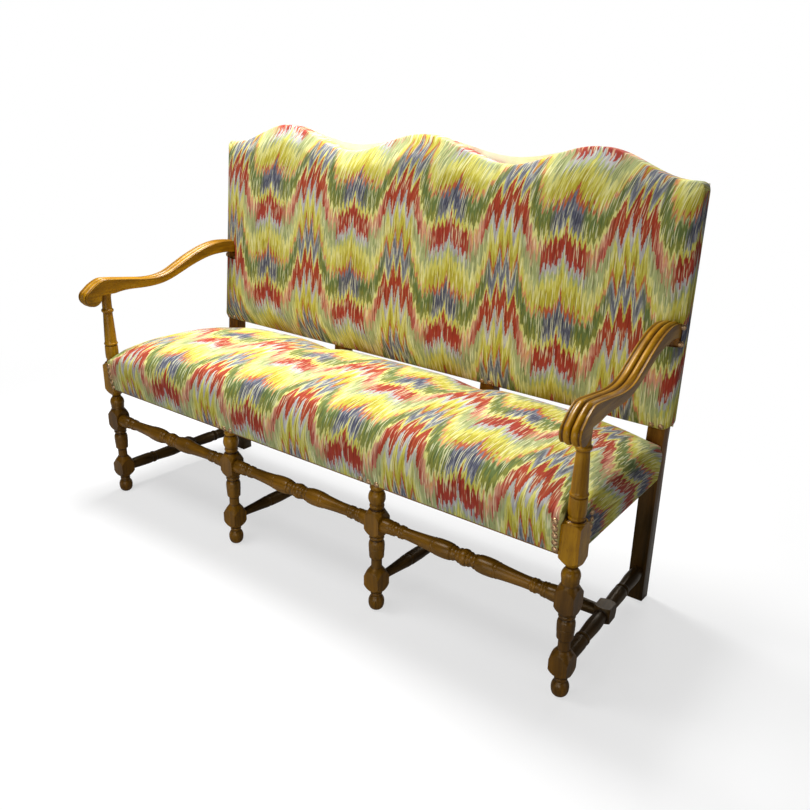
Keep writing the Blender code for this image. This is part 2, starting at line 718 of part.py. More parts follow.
def house_bottom_rail(upright, side):
    """The slot through a middle post that the bottom rail runs in."""
    x = side * back_upright_x
    half = rear_post_width / 2 + overrun
    low = (x - half, rear_post_depth / 4 - gap, bottom_rail_low - gap)
    high = (x + half, rear_post_depth * 3 / 4 + gap, bottom_rail_high + gap)
    boolean(upright, box_cutter(upright.name + "_slot", low, high, parent=back_frame))


def smooth_path(points):
    """Catmull-Rom points through a short list of chosen ones."""
    result = []
    count = len(points)
    for i in range(count - 1):
        p0, p1, p2, p3 = (Vector(points[min(max(i + k, 0), count - 1)]) for k in (-1, 0, 1, 2))
        for step in range(curve_steps):
            t = step / curve_steps
            bend = (2 * p0 - 5 * p1 + 4 * p2 - p3) * t * t + (3 * p1 - p0 - 3 * p2 + p3) * t ** 3
            result.append(tuple(p1 + ((p2 - p0) * t + bend) / 2))
    return result + [tuple(points[-1])]


def arm_point(share_y, share_z):
    return share_y * arm_length, arm_post_top + share_z * arm_rise


def arm_outline():
    """The arm's side view: an arched rear, a hollow and a scroll that rolls over the post."""
    top = smooth_path([arm_point(*p) for p in arm_top_shares])
    angles = [scroll_start + scroll_turn * i / scroll_steps for i in range(1, scroll_steps + 1)]
    scroll = [(scroll_y + scroll_radius * cos(a), scroll_z + scroll_radius * sin(a)) for a in angles]
    under = [arm_point(*arm_under_shares[0])] + smooth_path([arm_point(*p) for p in arm_under_shares[1:]])
    heel = (-turning_radius * scroll_heel_share, arm_post_top + gap)
    return top + scroll + [heel] + [(y, z + gap) for y, z in under]


def arm_tenon(name, side, grow):
    """The tenon at the rear of an arm, into the outer post."""
    half_x, half_z = arm_rear_tenon_width / 2 + grow, arm_rear_tenon_height / 2 + grow
    x = side * (outer_leg_x - arm_length * tan(arm_skew))
    return box_cutter(name, (x - half_x, arm_length - overrun, arm_joint_z - half_z),
                      (x + half_x, arm_length + tenon_length + grow, arm_joint_z + half_z))


def build_arm(name, side):
    """A scrolled arm, from its post at the front to the back's outer post."""
    place = Matrix.Translation((side * outer_leg_x, 0, 0)) @ Matrix.Rotation(side * arm_skew, 4, "Z") @ side_view
    arm = outline_piece(name, arm_outline(), arm_width / 2, place, colour=wood_colour, roughness=0.35)
    bevel = arm.modifiers.new("rounded", "BEVEL")
    bevel.width = arm_edge_round
    bevel.segments = 1
    bevel.limit_method = "ANGLE"
    bevel.angle_limit = bevel_angle
    boolean(arm, arm_end_cutter(name + "_end"))
    boolean(arm, arm_tenon(name + "_tenon", side, 0), "UNION")
    mouth = (side * outer_leg_x, 0, arm_post_top)
    boolean(arm, mortise(name + "_mortise", mouth, (0, 0, 1), arm_tenon_radius, arm_tenon_length))
    return arm


def arm_end_cutter(name):
    """All that lies behind the raked posts' front face, so the arm's end meets it squarely."""
    reach = outer_leg_x + overrun
    return box_cutter(name, (-reach, -2 * gap, 0), (reach, rear_post_depth, stile_top), parent=back_frame)


def dome(share, root):
    """The height of a stuffed surface, from 0 at its rim to 1 at its middle."""
    return max(1 - abs(share) ** dome_power, 0) ** root


def spread(count):
    """Grid places from -1 to 1 that crowd toward the rims."""
    evens = [2 * i / count - 1 for i in range(count + 1)]
    return [crowding_share * sin(even * pi / 2) + (1 - crowding_share) * even for even in evens]


def back_across():
    """Grid places across the back: even ones, with extra ones on the rounded corners."""
    corner = back_corner_radius / back_bottom_half_width
    evens = [(1 - corner) * (2 * i / back_columns - 1) for i in range(back_columns + 1)]
    bend = 1 - corner * (1 - corner_share)
    return [-1, -bend] + evens + [bend, 1]


def grid_sheet(name, across, along, place, rim, rim_steps):
    """An open sheet: a grid laid by a function, with walls that follow the rim down step by step."""
    columns, rows = len(across) - 1, len(along) - 1
    bm = bmesh.new()
    bmesh.ops.create_grid(bm, x_segments=columns, y_segments=rows, size=1)
    keys = {}
    for vert in bm.verts:
        i, j = round((vert.co.x + 1) / 2 * columns), round((vert.co.y + 1) / 2 * rows)
        keys[vert] = (across[i], along[j])
        vert.co = place(*keys[vert])
    edges = [edge for edge in bm.edges if edge.is_boundary]
    for step in range(1, rim_steps + 1):
        made = bmesh.ops.extrude_edge_only(bm, edges=edges)["geom"]
        fresh = {item for item in made if isinstance(item, bmesh.types.BMVert)}
        for vert in fresh:
            below = next(edge.other_vert(vert) for edge in vert.link_edges if edge.other_vert(vert) not in fresh)
            keys[vert] = keys[below]
            vert.co = rim(*keys[vert], step / rim_steps)
        edges = [item for item in made if isinstance(item, bmesh.types.BMEdge)]
    bmesh.ops.triangulate(bm, faces=bm.faces[:], quad_method="FIXED")
    return bm, [edge for edge in bm.edges if edge.is_boundary]


def seat_plan(u, v, grow):
    """The seat's plan: a trapezoid that narrows toward the back, grown or shrunk by an offset."""
    front = front_rail_face - seat_front_overhang - grow
    rear = rear_leg_y - seat_rear_clearance + min(grow, 0)
    y = front + (v + 1) / 2 * (rear - front)
    half = side_rail_line(y) + rail_thickness / 2 + seat_side_overhang + grow
    return u * half, y


def seat_place(u, v, grow):
    """A point of the seat's dome: full at the front, and falling away more gently toward the rear."""
    x, y = seat_plan(u, v, grow)
    rise = dome(u, seat_side_root) * dome(v, seat_front_root if v < 0 else seat_rear_root)
    return x, y, seat_rim_height + seat_crown * rise + grow


def seat_rim(u, v, share, grow, hem, rear_hem):
    """The seat's walls: full at the top and tucked in toward the rails' lower edge; short at the rear."""
    x, y = seat_plan(u, v, grow)
    tuck = seat_skirt_tuck * share ** 2
    top = seat_rim_height + grow
    if v > 1 - gap and abs(u) < 1 - gap:
        return x, y, top + (rear_hem - top) * share
    bottom = seat_front_skirt_bottom if v < -1 + gap else seat_side_skirt_bottom
    if abs(u) > 1 - gap:
        x -= (1 if u > 0 else -1) * min(tuck, side_tuck_limit)
    if v < -1 + gap:
        y += tuck
    return x, y, top + (bottom + hem - top) * share


def seat_notch_cutters(item, clearance):
    """Room for the corner legs, up through the stuffing beside the arm posts."""
    half = half_block + clearance
    for side in (-1, 1):
        x = side * outer_leg_x
        xs = sorted((x - side * half, x + side * (half + overrun)))
        low, high = (xs[0], -half - overrun, 0), (xs[1], half, arm_post_top)
        boolean(item, box_cutter(f"{item.name}_leg_notch_{side}", low, high))


def cut_rails_out(item):
    """Room for all that lies inside the seat rails' outer faces, up to the webbing."""
    half = rail_thickness / 2 + gap
    low, high = (-half, front_rail_face - gap, 0), (half, rear_leg_y + overrun, seat_base)
    hollow = box_cutter(item.name + "_hollow", low, high)
    for vert in hollow.data.vertices:
        side = 1 if vert.co.x > 0 else -1
        vert.co.x += side * side_rail_line(vert.co.y)
    boolean(item, hollow)


def build_seat_padding():
    """The seat's stuffing: a dome over the webbing that also wraps the front and the sides of the rails."""
    shrink = -cloth_thickness - gap
    hem = 2 * cloth_thickness
    bm, edges = grid_sheet("seat_padding", spread(seat_columns), spread(seat_rows),
                           lambda u, v: seat_place(u, v, shrink),
                           lambda u, v, share: seat_rim(u, v, share, shrink, hem, seat_front_skirt_bottom + hem),
                           skirt_steps)
    bmesh.ops.contextual_create(bm, geom=edges)
    item = add_object("seat_padding", mesh_from(bm, "seat_padding"), colour=padding_colour, roughness=0.95,
                      smooth=True)
    cut_rails_out(item)
    seat_notch_cutters(item, cloth_thickness + 2 * gap)
    return item


def build_seat_cover():
    """The seat's fabric: one sheet drawn over the stuffing, its skirt tacked to the rails."""
    bm, edges = grid_sheet("seat_cover", spread(seat_columns), spread(seat_rows), lambda u, v: seat_place(u, v, 0),
                           lambda u, v, share: seat_rim(u, v, share, 0, 0, seat_base + gap), skirt_steps)
    item = add_object("seat_cover", mesh_from(bm, "seat_cover"), colour=cover_colour, roughness=0.9, smooth=True)
    add_cloth_thickness(item)
    cut_rails_out(item)
    seat_notch_cutters(item, gap)
    return item


def add_cloth_thickness(item):
    """Thicken a sheet inward into a cloth."""
    shell = item.modifiers.new("cloth", "SOLIDIFY")
    shell.thickness = cloth_thickness
    shell.offset = -1


def band_plate(name, xs, ys, level, parent=None, upright=False):
    """A plate of crossing webbing bands: between each pair of bands the plate is open."""
    bm = bmesh.new()
    columns, rows = len(xs) - 1, len(ys) - 1
    bmesh.ops.create_grid(bm, x_segments=columns, y_segments=rows, size=1)
    open_faces = []
    for face in bm.faces:
        middle = face.calc_center_median()
        i, j = int((middle.x + 1) / 2 * columns), int((middle.y + 1) / 2 * rows)
        if i % 2 and j % 2:
            open_faces.append(face)
    for vert in bm.verts:
        i, j = round((vert.co.x + 1) / 2 * columns), round((vert.co.y + 1) / 2 * rows)
        vert.co = (xs[i], level, ys[j]) if upright else (xs[i], ys[j], level)
    bmesh.ops.delete(bm, geom=open_faces, context="FACES")
    item = add_object(name, mesh_from(bm, name), colour=webbing_colour, roughness=0.9, parent=parent)
    shell = item.modifiers.new("thickness", "SOLIDIFY")
    shell.thickness = webbing_thickness
    shell.offset = 0
    return item


def bands(low, high, count):
    """The edges of evenly spaced bands from low to high, the first and last bands on the ends."""
    pitch = (high - low) / (count - 1 + band_share)
    return [low + pitch * i + offset for i in range(count) for offset in (0, pitch * band_share)]


def build_seat_webbing():
    """Crossing bands of webbing nailed on top of the seat rails."""
    half = side_rail_line(half_block) - rail_thickness / 2 + webbing_reach / 2
    front = front_rail_face + rail_thickness - webbing_reach
    rear = rear_leg_y + webbing_reach
    xs, ys = bands(-half, half, seat_band_counts[0]), bands(front, rear, seat_band_counts[1])
    item = band_plate("seat_webbing", xs, ys, rail_top + gap + webbing_thickness / 2)
    half = rear_post_width / 2 + gap
    for x in post_places:
        notch_front = rear_leg_y - gap
        if abs(x) > back_upright_x:
            notch_front = rear_leg_y - seat_rear_clearance - cloth_thickness - 2 * gap
        low, high = (x - half, notch_front, rail_bottom), (x + half, rear + overrun, arm_post_top)
        boolean(item, box_cutter(f"seat_webbing_notch_{x:.2f}", low, high))
    return item


def build_dust_cover():
    """The dark cloth that closes the seat from below."""
    half = side_rail_line(half_block) - rail_thickness / 2 + dust_cover_reach / 2
    top = rail_bottom - gap
    front = half_block + 2 * gap
    rear = rear_leg_y + dust_cover_reach
    mesh = box_mesh("dust_cover", (-half, front, top - dust_cover_thickness), (half, rear, top))
    item = add_object("dust_cover", mesh, colour=black_cloth_colour, roughness=0.95)
    half = rear_post_width / 2 + 3 * gap
    for x in (-rear_leg_x, rear_leg_x):
        low, high = (x - half, rear_leg_y - 3 * gap, 0), (x + half, rear + overrun, rail_top)
        boolean(item, box_cutter(f"dust_cover_notch_{x:.2f}", low, high))
    return item


def back_plan(u, v, grow, dip=back_dip):
    """A point of the back's front view: across by u and up by v, with rounded corners."""
    taper = (v + 1) / 2
    half = back_bottom_half_width + (back_top_half_width - back_bottom_half_width) * taper + grow
    x = u * half
    into_corner = max(abs(x) - (half - back_corner_radius), 0)
    corner = back_corner_radius - sqrt(max(back_corner_radius ** 2 - into_corner ** 2, 0))
    low = back_height(back_bottom) - grow + corner
    high = back_height(back_top(x, dip)) + grow - corner
    return x, low + (v + 1) / 2 * (high - low)


def back_place(u, v, grow):
    """A point of the back's stuffed front."""
    x, h = back_plan(u, v, grow)
    depth = -back_rim_forward - back_crown * dome(u, back_root) * dome(v, back_root) - grow
    return x, depth, h


def back_rim(u, v, share, grow):
    """A point of the back's side walls, from the front's rim to the rear of the frame."""
    x, h = back_plan(u, v, grow)
    front = -back_rim_forward - grow
    return x, front + (rear_post_depth - front) * share, h


def arm_notch(item, side, clearance):
    """The opening that an arm's rear end passes through on its way to the outer post."""
    x = outer_leg_x - arm_length * tan(arm_skew)
    half = arm_width / 2 / cos(arm_skew) + 2 * overrun * tan(arm_skew) + clearance
    bottom, top = (arm_point(1, share)[1] for share in arm_notch_shares)
    xs = sorted((side * (x - half), side * (x + half + overrun)))
    low = (xs[0], arm_length - 2 * overrun, bottom)
    high = (xs[1], rear_leg_y + rear_post_depth + overrun, top)
    boolean(item, box_cutter(f"{item.name}_arm_notch_{side}", low, high))


def build_back_padding():
    """The back's stuffing in front of the posts and the top rail."""
    shrink = -cloth_thickness - gap
    bm, edges = grid_sheet("back_padding", back_across(), spread(back_rows), lambda u, v: back_place(u, v, shrink),
                           lambda u, v, share: back_rim(u, v, share, shrink), 1)
    bmesh.ops.contextual_create(bm, geom=edges)
    item = add_object("back_padding", mesh_from(bm, "back_padding"), colour=padding_colour, roughness=0.95,
                      parent=back_frame, smooth=True)
    reach = back_bottom_half_width + overrun
    low, high = (-reach, -2 * gap - webbing_thickness, 0), (reach, rear_post_depth + overrun, back_hump)
    boolean(item, box_cutter("back_padding_trim", low, high, parent=back_frame))
    for side in (-1, 1):
        arm_notch(item, side, cloth_thickness + 2 * gap)
    return item


def build_back_cover():
    """The back's fabric: drawn over the stuffing and round the frame's edges to the rear."""
    bm, edges = grid_sheet("back_cover", back_across(), spread(back_rows), lambda u, v: back_place(u, v, 0),
                           lambda u, v, share: back_rim(u, v, share, 0), 1)
    item = add_object("back_cover", mesh_from(bm, "back_cover"), colour=cover_colour, roughness=0.9,
                      parent=back_frame, smooth=True)
    add_cloth_thickness(item)
    for side in (-1, 1):
        arm_notch(item, side, gap)
    half = rear_post_width / 2 + gap
    bottom = back_height(back_bottom)
    for x in post_places:
        low = (x - half, -gap, bottom - overrun)
        high = (x + half, rear_post_depth + overrun, bottom + back_corner_radius)
        boolean(item, box_cutter(f"back_cover_post_notch_{x:.2f}", low, high, parent=back_frame))
    return item


def build_back_lining():
    """The plain cloth of the outside back, drawn straighter across the dips than the front is."""
    top = back_top_line(-lining_inset, lining_dip)
    points = [(top[-1][0], bottom_rail_low), (top[0][0], bottom_rail_low)] + top
    shift = Matrix.Translation((0, rear_post_depth + gap + cloth_thickness / 2, 0))
    return outline_piece("back_lining", points, cloth_thickness / 2, shift @ front_view, colour=cream_colour,
                         roughness=0.95, parent=back_frame)


def build_back_webbing():
    """Crossing bands of webbing on the front of the back's frame, behind the stuffing."""
    xs = bands(-rear_leg_x, rear_leg_x, back_band_counts[0])
    ys = bands(bottom_rail_low + webbing_reach, stile_top + 2 * webbing_reach, back_band_counts[1])
    item = band_plate("back_webbing", xs, ys, -gap - webbing_thickness / 2, back_frame, upright=True)
    for side in (-1, 1):
        arm_notch(item, side, 2 * gap)


def build_nail(name, position, outward):
    """A domed nail head that lies on the fabric."""
    bm = bmesh.new()
    bmesh.ops.create_uvsphere(bm, u_segments=nail_facets, v_segments=nail_rings, radius=1)
    bmesh.ops.bisect_plane(bm, geom=bm.verts[:] + bm.edges[:] + bm.faces[:], dist=gap, plane_co=(0, 0, 0),
                           plane_no=(0, 0, 1), clear_inner=True)
    bmesh.ops.contextual_create(bm, geom=[edge for edge in bm.edges if edge.is_boundary])
    bmesh.ops.scale(bm, verts=bm.verts, vec=(nail_radius, nail_radius, nail_height))
    item = add_object(name, mesh_from(bm, name), colour=brass_colour, roughness=0.4, metallic=1.0, smooth=True)
    item.location = position
    item.rotation_euler = Vector(outward).to_track_quat("Z", "Y").to_euler()
    return item


def skirt_point(z, limit, bottom):
    """How far the skirt is tucked in at a level, on its straight facets, and how steeply."""
    drop = seat_rim_height - bottom
    share = (seat_rim_height - z) / drop
    step = min(int(share * skirt_steps), skirt_steps - 1)
    above, below = (min(seat_skirt_tuck * (s / skirt_steps) ** 2, limit) for s in (step, step + 1))
    return above + (below - above) * (share * skirt_steps - step), (below - above) * skirt_steps / drop


def build_leg_nails(side):
    """Columns of nails beside a corner leg's seat block, on the front and on the side."""
    label = "left" if side < 0 else "right"
    low = seat_front_skirt_bottom + 2 * nail_radius
    high = seat_rim_height - 2 * nail_radius
    clear = nail_radius + 4 * gap
    for i in range(nails_in_column):
        z = low + (high - low) * i / (nails_in_column - 1)
        tuck, slope = skirt_point(z, seat_skirt_tuck, seat_front_skirt_bottom)
        x = outer_leg_x - half_block - clear
        y = front_rail_face - seat_front_overhang + tuck
        build_nail(f"nail_{label}_front_{i + 1}", (side * x, y - 2 * gap, z), (0, -1, -slope))
        tuck, slope = skirt_point(z, side_tuck_limit, seat_side_skirt_bottom)
        y = half_block + clear
        x = side_rail_line(y) + rail_thickness / 2 + seat_side_overhang - tuck
        build_nail(f"nail_{label}_side_{i + 1}", (side * (x + 2 * gap), y, z), (side, side_askew, -slope))


def build():
    for side, label in ((-1, "left"), (1, "right")):
        build_outer_front_leg(f"front_leg_{label}", side)
        build_inner_front_leg(f"front_leg_middle_{label}", side)
        build_rear_leg(f"rear_leg_{label}", side)
        house_bottom_rail(build_back_upright(f"back_upright_{label}", side), side)
        build_side_stretcher(f"side_stretcher_{label}", side)
        build_short_stretcher(f"short_stretcher_{label}", side)
        build_side_rail(f"side_seat_rail_{label}", side)
        build_cross_rail(f"cross_rail_{label}", side)
        build_arm(f"arm_{label}", side)
        build_leg_nails(side)
    for label, middle in (("left", -leg_spacing), ("centre", 0), ("right", leg_spacing)):
        build_front_stretcher(f"front_stretcher_{label}", middle)
    build_long_stretcher()
    build_front_rail()
    build_rear_rail()
    build_top_rail()
    build_bottom_rail()
    build_seat_webbing()
    build_seat_padding()
    build_seat_cover()
    build_dust_cover()
    build_back_webbing()
    build_back_padding()
    build_back_cover()
    build_back_lining()


build()
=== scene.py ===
# %% [markdown]
# # A long sofa with turned legs and a flame-stitch cover
# The sofa stands on four turned and two square legs, joined low down by turned stretchers. Its arms are reeded and end
# in scrolls, its seat is one long stuffed bench and its back has three humps. The frame below is the joiner's model.
# This lesson dresses it: each plain piece that shows is replaced by a finer one in the same place.
# Lengths are in metres, Z is up, and the sofa faces -Y.

# %% Load the frame
from math import atan2, cos, pi, radians, sin, sqrt, tan

import bmesh
import bpy
import numpy as np
from mathutils import Matrix, Vector
from mathutils.bvhtree import BVHTree


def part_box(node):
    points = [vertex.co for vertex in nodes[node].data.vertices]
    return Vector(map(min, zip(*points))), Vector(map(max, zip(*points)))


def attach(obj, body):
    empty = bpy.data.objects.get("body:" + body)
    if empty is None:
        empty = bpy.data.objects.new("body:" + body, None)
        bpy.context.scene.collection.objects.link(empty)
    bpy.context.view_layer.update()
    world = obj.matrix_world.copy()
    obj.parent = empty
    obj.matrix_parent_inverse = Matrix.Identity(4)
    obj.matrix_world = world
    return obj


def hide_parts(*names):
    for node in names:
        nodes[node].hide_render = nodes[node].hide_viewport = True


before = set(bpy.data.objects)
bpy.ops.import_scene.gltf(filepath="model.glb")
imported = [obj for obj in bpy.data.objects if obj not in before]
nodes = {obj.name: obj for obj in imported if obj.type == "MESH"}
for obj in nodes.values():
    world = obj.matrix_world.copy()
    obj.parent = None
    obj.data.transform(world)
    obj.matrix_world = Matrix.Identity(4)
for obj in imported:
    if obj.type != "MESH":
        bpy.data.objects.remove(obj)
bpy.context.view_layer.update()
print("the frame has", len(nodes), "pieces")

# %% [markdown]
# ## Places taken from the frame
# Every size that two pieces share is read from the frame's boxes, so that a new piece sits where the plain one sat.
# A box is a piece's lowest and highest corner. The rear posts stand upright up to a bend and lean back above it: no box
# shows that, so the bend's height and the rake are given here, with the two small gaps left where pieces meet.

# %% Measure the frame
def low_high(name):
    low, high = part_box(name)
    return Vector(low), Vector(high)


def middle(name):
    low, high = low_high(name)
    return (low + high) / 2


leg_x = middle("front_leg_right").x
middle_leg_x, leg_y = middle("front_leg_middle_right").xy
post_top = low_high("front_leg_right")[1].z
rear_leg_low, rear_leg_high = low_high("rear_leg_right")
rear_leg_x, rear_leg_y = (rear_leg_low.x + rear_leg_high.x) / 2, rear_leg_low.y
post_width = rear_leg_high.x - rear_leg_low.x
upright_x = middle("back_upright_right").x
front_stretcher_z = middle("front_stretcher_centre").z
long_stretcher_y, stretcher_z = middle("long_stretcher").yz
bend_z, rake = 0.440, radians(4.5)
joint_gap, clearance = 0.0003, 0.0006
print("front legs at x", round(middle_leg_x, 3), round(leg_x, 3), "rear legs at", round(rear_leg_x, 3))

# %% [markdown]
# ## The camera
# It stands to the right of the sofa, a little above the arms, and looks down and left. Its place and turn were
# worked out from the sofa's own straight and square parts.

# %% Set up the camera
camera = bpy.data.objects.new("camera", bpy.data.cameras.new("camera"))
bpy.context.scene.collection.objects.link(camera)
camera.data.lens = 38.68
camera.data.shift_x, camera.data.shift_y = 0.00141, 0.00155
turn = Matrix()
for degrees, axis_name in ((37.572, "Z"), (68.984, "X"), (1.046, "Z")):
    turn = turn @ Matrix.Rotation(radians(degrees), 4, axis_name)
camera.matrix_world = Matrix.Translation((1.45018, -1.68135, 1.26618)) @ turn
bpy.context.scene.camera = camera
bpy.context.scene.view_settings.view_transform = "Standard"
print("camera at", [round(c, 2) for c in camera.location])

# %% [markdown]
# ## Small tools for nodes
# Materials are built from nodes. What a node gives out is wrapped as a signal here, and signals can be added and
# multiplied like numbers: each such sum puts the node for it into the tree, so that a formula reads as one.

# %% Node tools
def srgb(red, green, blue):
    """A colour as it is seen on a screen, 0 to 255, turned into the linear values that a shader reads."""
    shares = [c / 255 for c in (red, green, blue)]
    return tuple(c / 12.92 if c <= 0.04045 else ((c + 0.055) / 1.055) ** 2.4 for c in shares) + (1.0,)


class Signal:
    """What a node gives out, ready to be used in a sum or led into another node."""

    def __init__(self, tree, socket):
        self.tree, self.socket = tree, socket

    def math(self, operation, *others):
        return wire(self.tree, "ShaderNodeMath", dict(enumerate((self, *others))), operation=operation)

    def __add__(self, other):
        return self.math("ADD", other)

    def __sub__(self, other):
        return self.math("SUBTRACT", other)

    def __mul__(self, other):
        return self.math("MULTIPLY", other)

    def __truediv__(self, other):
        return self.math("DIVIDE", other)

    def remap(self, low, high, to_low=0.0, to_high=1.0):
        values = {0: self, 1: low, 2: high, 3: to_low, 4: to_high}
        return wire(self.tree, "ShaderNodeMapRange", values, interpolation_type="SMOOTHSTEP")

    def into(self, socket):
        self.tree.links.new(self.socket, socket)


def put(tree, kind, values=None, **settings):
    """Add a node; each value is a signal to link or a plain value to type in."""
    node = tree.nodes.new(kind)
    for key, value in settings.items():
        setattr(node, key, value)
    for key, value in (values or {}).items():
        if isinstance(value, Signal):
            value.into(node.inputs[key])
        else:
            node.inputs[key].default_value = value
    return node


def wire(tree, kind, values=None, output=0, **settings):
    return Signal(tree, put(tree, kind, values, **settings).outputs[output])


def mix(first, second, share, mode="MIX"):
    return wire(share.tree, "ShaderNodeMix", {0: share, 6: first, 7: second}, 2, data_type="RGBA", blend_type=mode)


def noise(vector, scale, detail=2.0, roughness=0.5, distortion=0.0):
    values = {"Vector": vector, "Scale": scale, "Detail": detail, "Roughness": roughness, "Distortion": distortion}
    return wire(vector.tree, "ShaderNodeTexNoise", values, "Fac")


def placed(vector, **how):
    return wire(vector.tree, "ShaderNodeMapping", {"Vector": vector, **how})


def axis(vector, name):
    return wire(vector.tree, "ShaderNodeSeparateXYZ", {"Vector": vector}, name)


def point(x, y, z=0.0):
    return wire(x.tree, "ShaderNodeCombineXYZ", {"X": x, "Y": y, "Z": z})


def own_place(tree):
    """The place on the piece itself, in metres."""
    return wire(tree, "ShaderNodeTexCoord", output="Object")


def new_group(name, inputs, outputs):
    """An empty node group; gives back its tree, its inputs as signals and the sockets that it fills."""
    tree = bpy.data.node_groups.new(name, "ShaderNodeTree")
    for labels, way in ((inputs, "INPUT"), (outputs, "OUTPUT")):
        for label, kind in labels.items():
            tree.interface.new_socket(name=label, in_out=way, socket_type="NodeSocket" + kind)
    given = {socket.name: Signal(tree, socket) for socket in tree.nodes.new("NodeGroupInput").outputs}
    return tree, given, tree.nodes.new("NodeGroupOutput").inputs


def new_material(name, roughness=0.5, **fixed):
    """A material with one plain shader; gives back the material, its tree and the shader."""
    material = bpy.data.materials.new(name)
    material.use_nodes = True
    shader = material.node_tree.nodes["Principled BSDF"]
    for key, value in {"Roughness": roughness, **fixed}.items():
        shader.inputs[key.replace("_", " ")].default_value = value
    return material, material.node_tree, shader


def bump(shader, height, distance, strength):
    values = {"Height": height, "Distance": distance, "Strength": strength}
    wire(height.tree, "ShaderNodeBump", values).into(shader.inputs["Normal"])


def use_group(shader, tree, group, values, distance, strength):
    """Put a group to work: its colour, roughness and height go to the shader."""
    node = put(tree, "ShaderNodeGroup", values, node_tree=group)
    made = {socket.name: Signal(tree, socket) for socket in node.outputs}
    made["Color"].into(shader.inputs["Base Color"])
    if "Roughness" in made:
        made["Roughness"].into(shader.inputs["Roughness"])
    bump(shader, made["Height"], distance, strength)


print("node tools are ready")

# %% [markdown]
# ## The polished wood
# The frame is a honey-brown fruitwood under old wax. Real wood shows long fibres, short dark pores, and a stain that
# sits deeper in the grooves and wears off the edges. The grooves are also darkened with painted shade, and the proud
# rings and edges lightened with a painted highlight. One group makes all of that from a point whose Z runs along the
# grain, so each piece only has to say which way its own grain lies.

# %% The wood group
wood_group, given, out = new_group(
    "Waxed wood", {"Grain": "Vector", "Light": "Color", "Dark": "Color", "Groove": "Float"},
    {"Color": "Color", "Roughness": "Float", "Height": "Float"})
grain, groove = given["Grain"], given["Groove"]
fibres = noise(placed(grain, Scale=(55, 55, 3.2)), 1.0, 6.0, 0.62, 1.1)
fine = noise(placed(grain, Scale=(420, 420, 16)), 1.0, 3.0, 0.6)
patches = noise(grain, 9.0, 3.0, 0.55)
pores = noise(placed(grain, Scale=(1100, 1100, 55)), 1.0, 1.0).remap(0.62, 0.74)
# Darker in the grooves: partly the real wax stain that sits there, partly painted shade.
stain_and_shade = (groove + (patches - 0.5) * 0.5).remap(0.08, 0.85)
# Lighter on proud rings and edges: partly real wear, partly a painted highlight.
worn = (groove * -1.0).remap(0.25, 0.95)
tone = mix(given["Dark"], given["Light"], (fibres * 0.65 + patches * 0.45).remap(0.38, 0.72))
for tint, share in (((0.25, 0.16, 0.08, 1), pores * 0.55), ((0.78, 0.74, 0.66, 1), fine),
                    ((0.20, 0.13, 0.09, 1), stain_and_shade), ((1.35, 1.32, 1.2, 1), worn * patches)):
    tone = mix(tone, tint, share, "MULTIPLY")
tone.into(out["Color"])
(patches * 0.22 + (stain_and_shade * 0.15 + 0.30)).into(out["Roughness"])
(pores * -0.6 + fibres * 0.5).into(out["Height"])
print("wood group:", len(wood_group.nodes), "nodes")

# %% [markdown]
# A piece that is made here stores its grain in an attribute: a point of the piece as it lay on the bench, with Z
# along the bar. Plain pieces from the frame have no such attribute, so they read Object coordinates, turned to lie
# along X or Y. Low down on the legs a wood can fade to a second, darker pair of colours: that is painted shade,
# darker toward the floor.

# %% Wood materials
grain_turns = {"X": (0, radians(90), 0), "Y": (radians(90), 0, 0), "Z": (0, 0, 0)}


def make_wood(name, colours, along=None, coat=0.0, low=None, fade=(0.26, 0.345)):
    material, tree, shader = new_material(
        name, Coat_Weight=coat, Coat_Roughness=0.25, Coat_Tint=(1.0, 0.90, 0.66, 1.0),
        Specular_IOR_Level=0.22, Specular_Tint=(1.0, 0.68, 0.22, 1.0))
    values = dict(zip(("Light", "Dark"), colours))
    if along:
        values["Grain"] = placed(own_place(tree), Rotation=grain_turns[along])
    else:
        values["Grain"] = wire(tree, "ShaderNodeAttribute", output="Vector", attribute_name="grain")
        values["Groove"] = wire(tree, "ShaderNodeAttribute", output="Fac", attribute_name="groove")
    # The low colours are painted shade, darker toward the floor.
    if low:
        share = axis(own_place(tree), "Z").remap(*fade)
        values["Light"], values["Dark"] = (mix(below, above, share) for below, above in zip(low, colours))
    use_group(shader, tree, wood_group, values, distance=0.0004, strength=0.5)
    return material


honey, rail_brown = (srgb(176, 130, 12), srgb(124, 84, 2)), (srgb(150, 104, 52), srgb(102, 66, 30))
# The corner legs fade to still darker low colours than the middle ones: painted shade.
honey_wood = make_wood("honey wood", honey, coat=0.36, low=(srgb(140, 98, 18), srgb(88, 60, 8)))
corner_wood = make_wood("honey wood, painted darker in shade low down", honey, coat=0.36, low=(srgb(112, 76, 14), srgb(66, 43, 6)))
# The low stretchers under the seat are a darker copy of the wood: painted shade.
dark_wood = make_wood("wood of the low stretchers, painted darker in shade", (srgb(82, 58, 24), srgb(42, 28, 10)), coat=0.15)
# The rear posts are a darker copy of the wood, darker still toward the floor: painted shade.
post_wood = make_wood("wood of the posts, painted darker in shade", (srgb(150, 98, 28), srgb(92, 56, 12)), "Z", 0.15,
                      (srgb(70, 48, 20), srgb(38, 26, 10)), (0.20, 0.54))
rail_wood_x, rail_wood_y = (make_wood("rail wood along " + way.lower(), rail_brown, way) for way in "XY")
print("wood materials:", [m.name for m in bpy.data.materials if "wood" in m.name])

# %% [markdown]
# ## The flame-stitch cloth
# Flame stitch is an old pattern of zigzag bands. All bands follow one zigzag line: four tall teeth make a comb, then
# the line falls steeply to a smaller jagged crest, and the whole repeats across the cloth. Up the cloth the same bands
# return again and again. It could be painted as an image, but the pattern is a rule, so nodes can work it out: a
# curve gives how far the zigzag has dropped at each place across, adding it to the height gives a level, and a colour
# ramp turns the level into a band. The warp threads are dyed one by one, so each thread's level is shifted a little,
# which frays every edge.

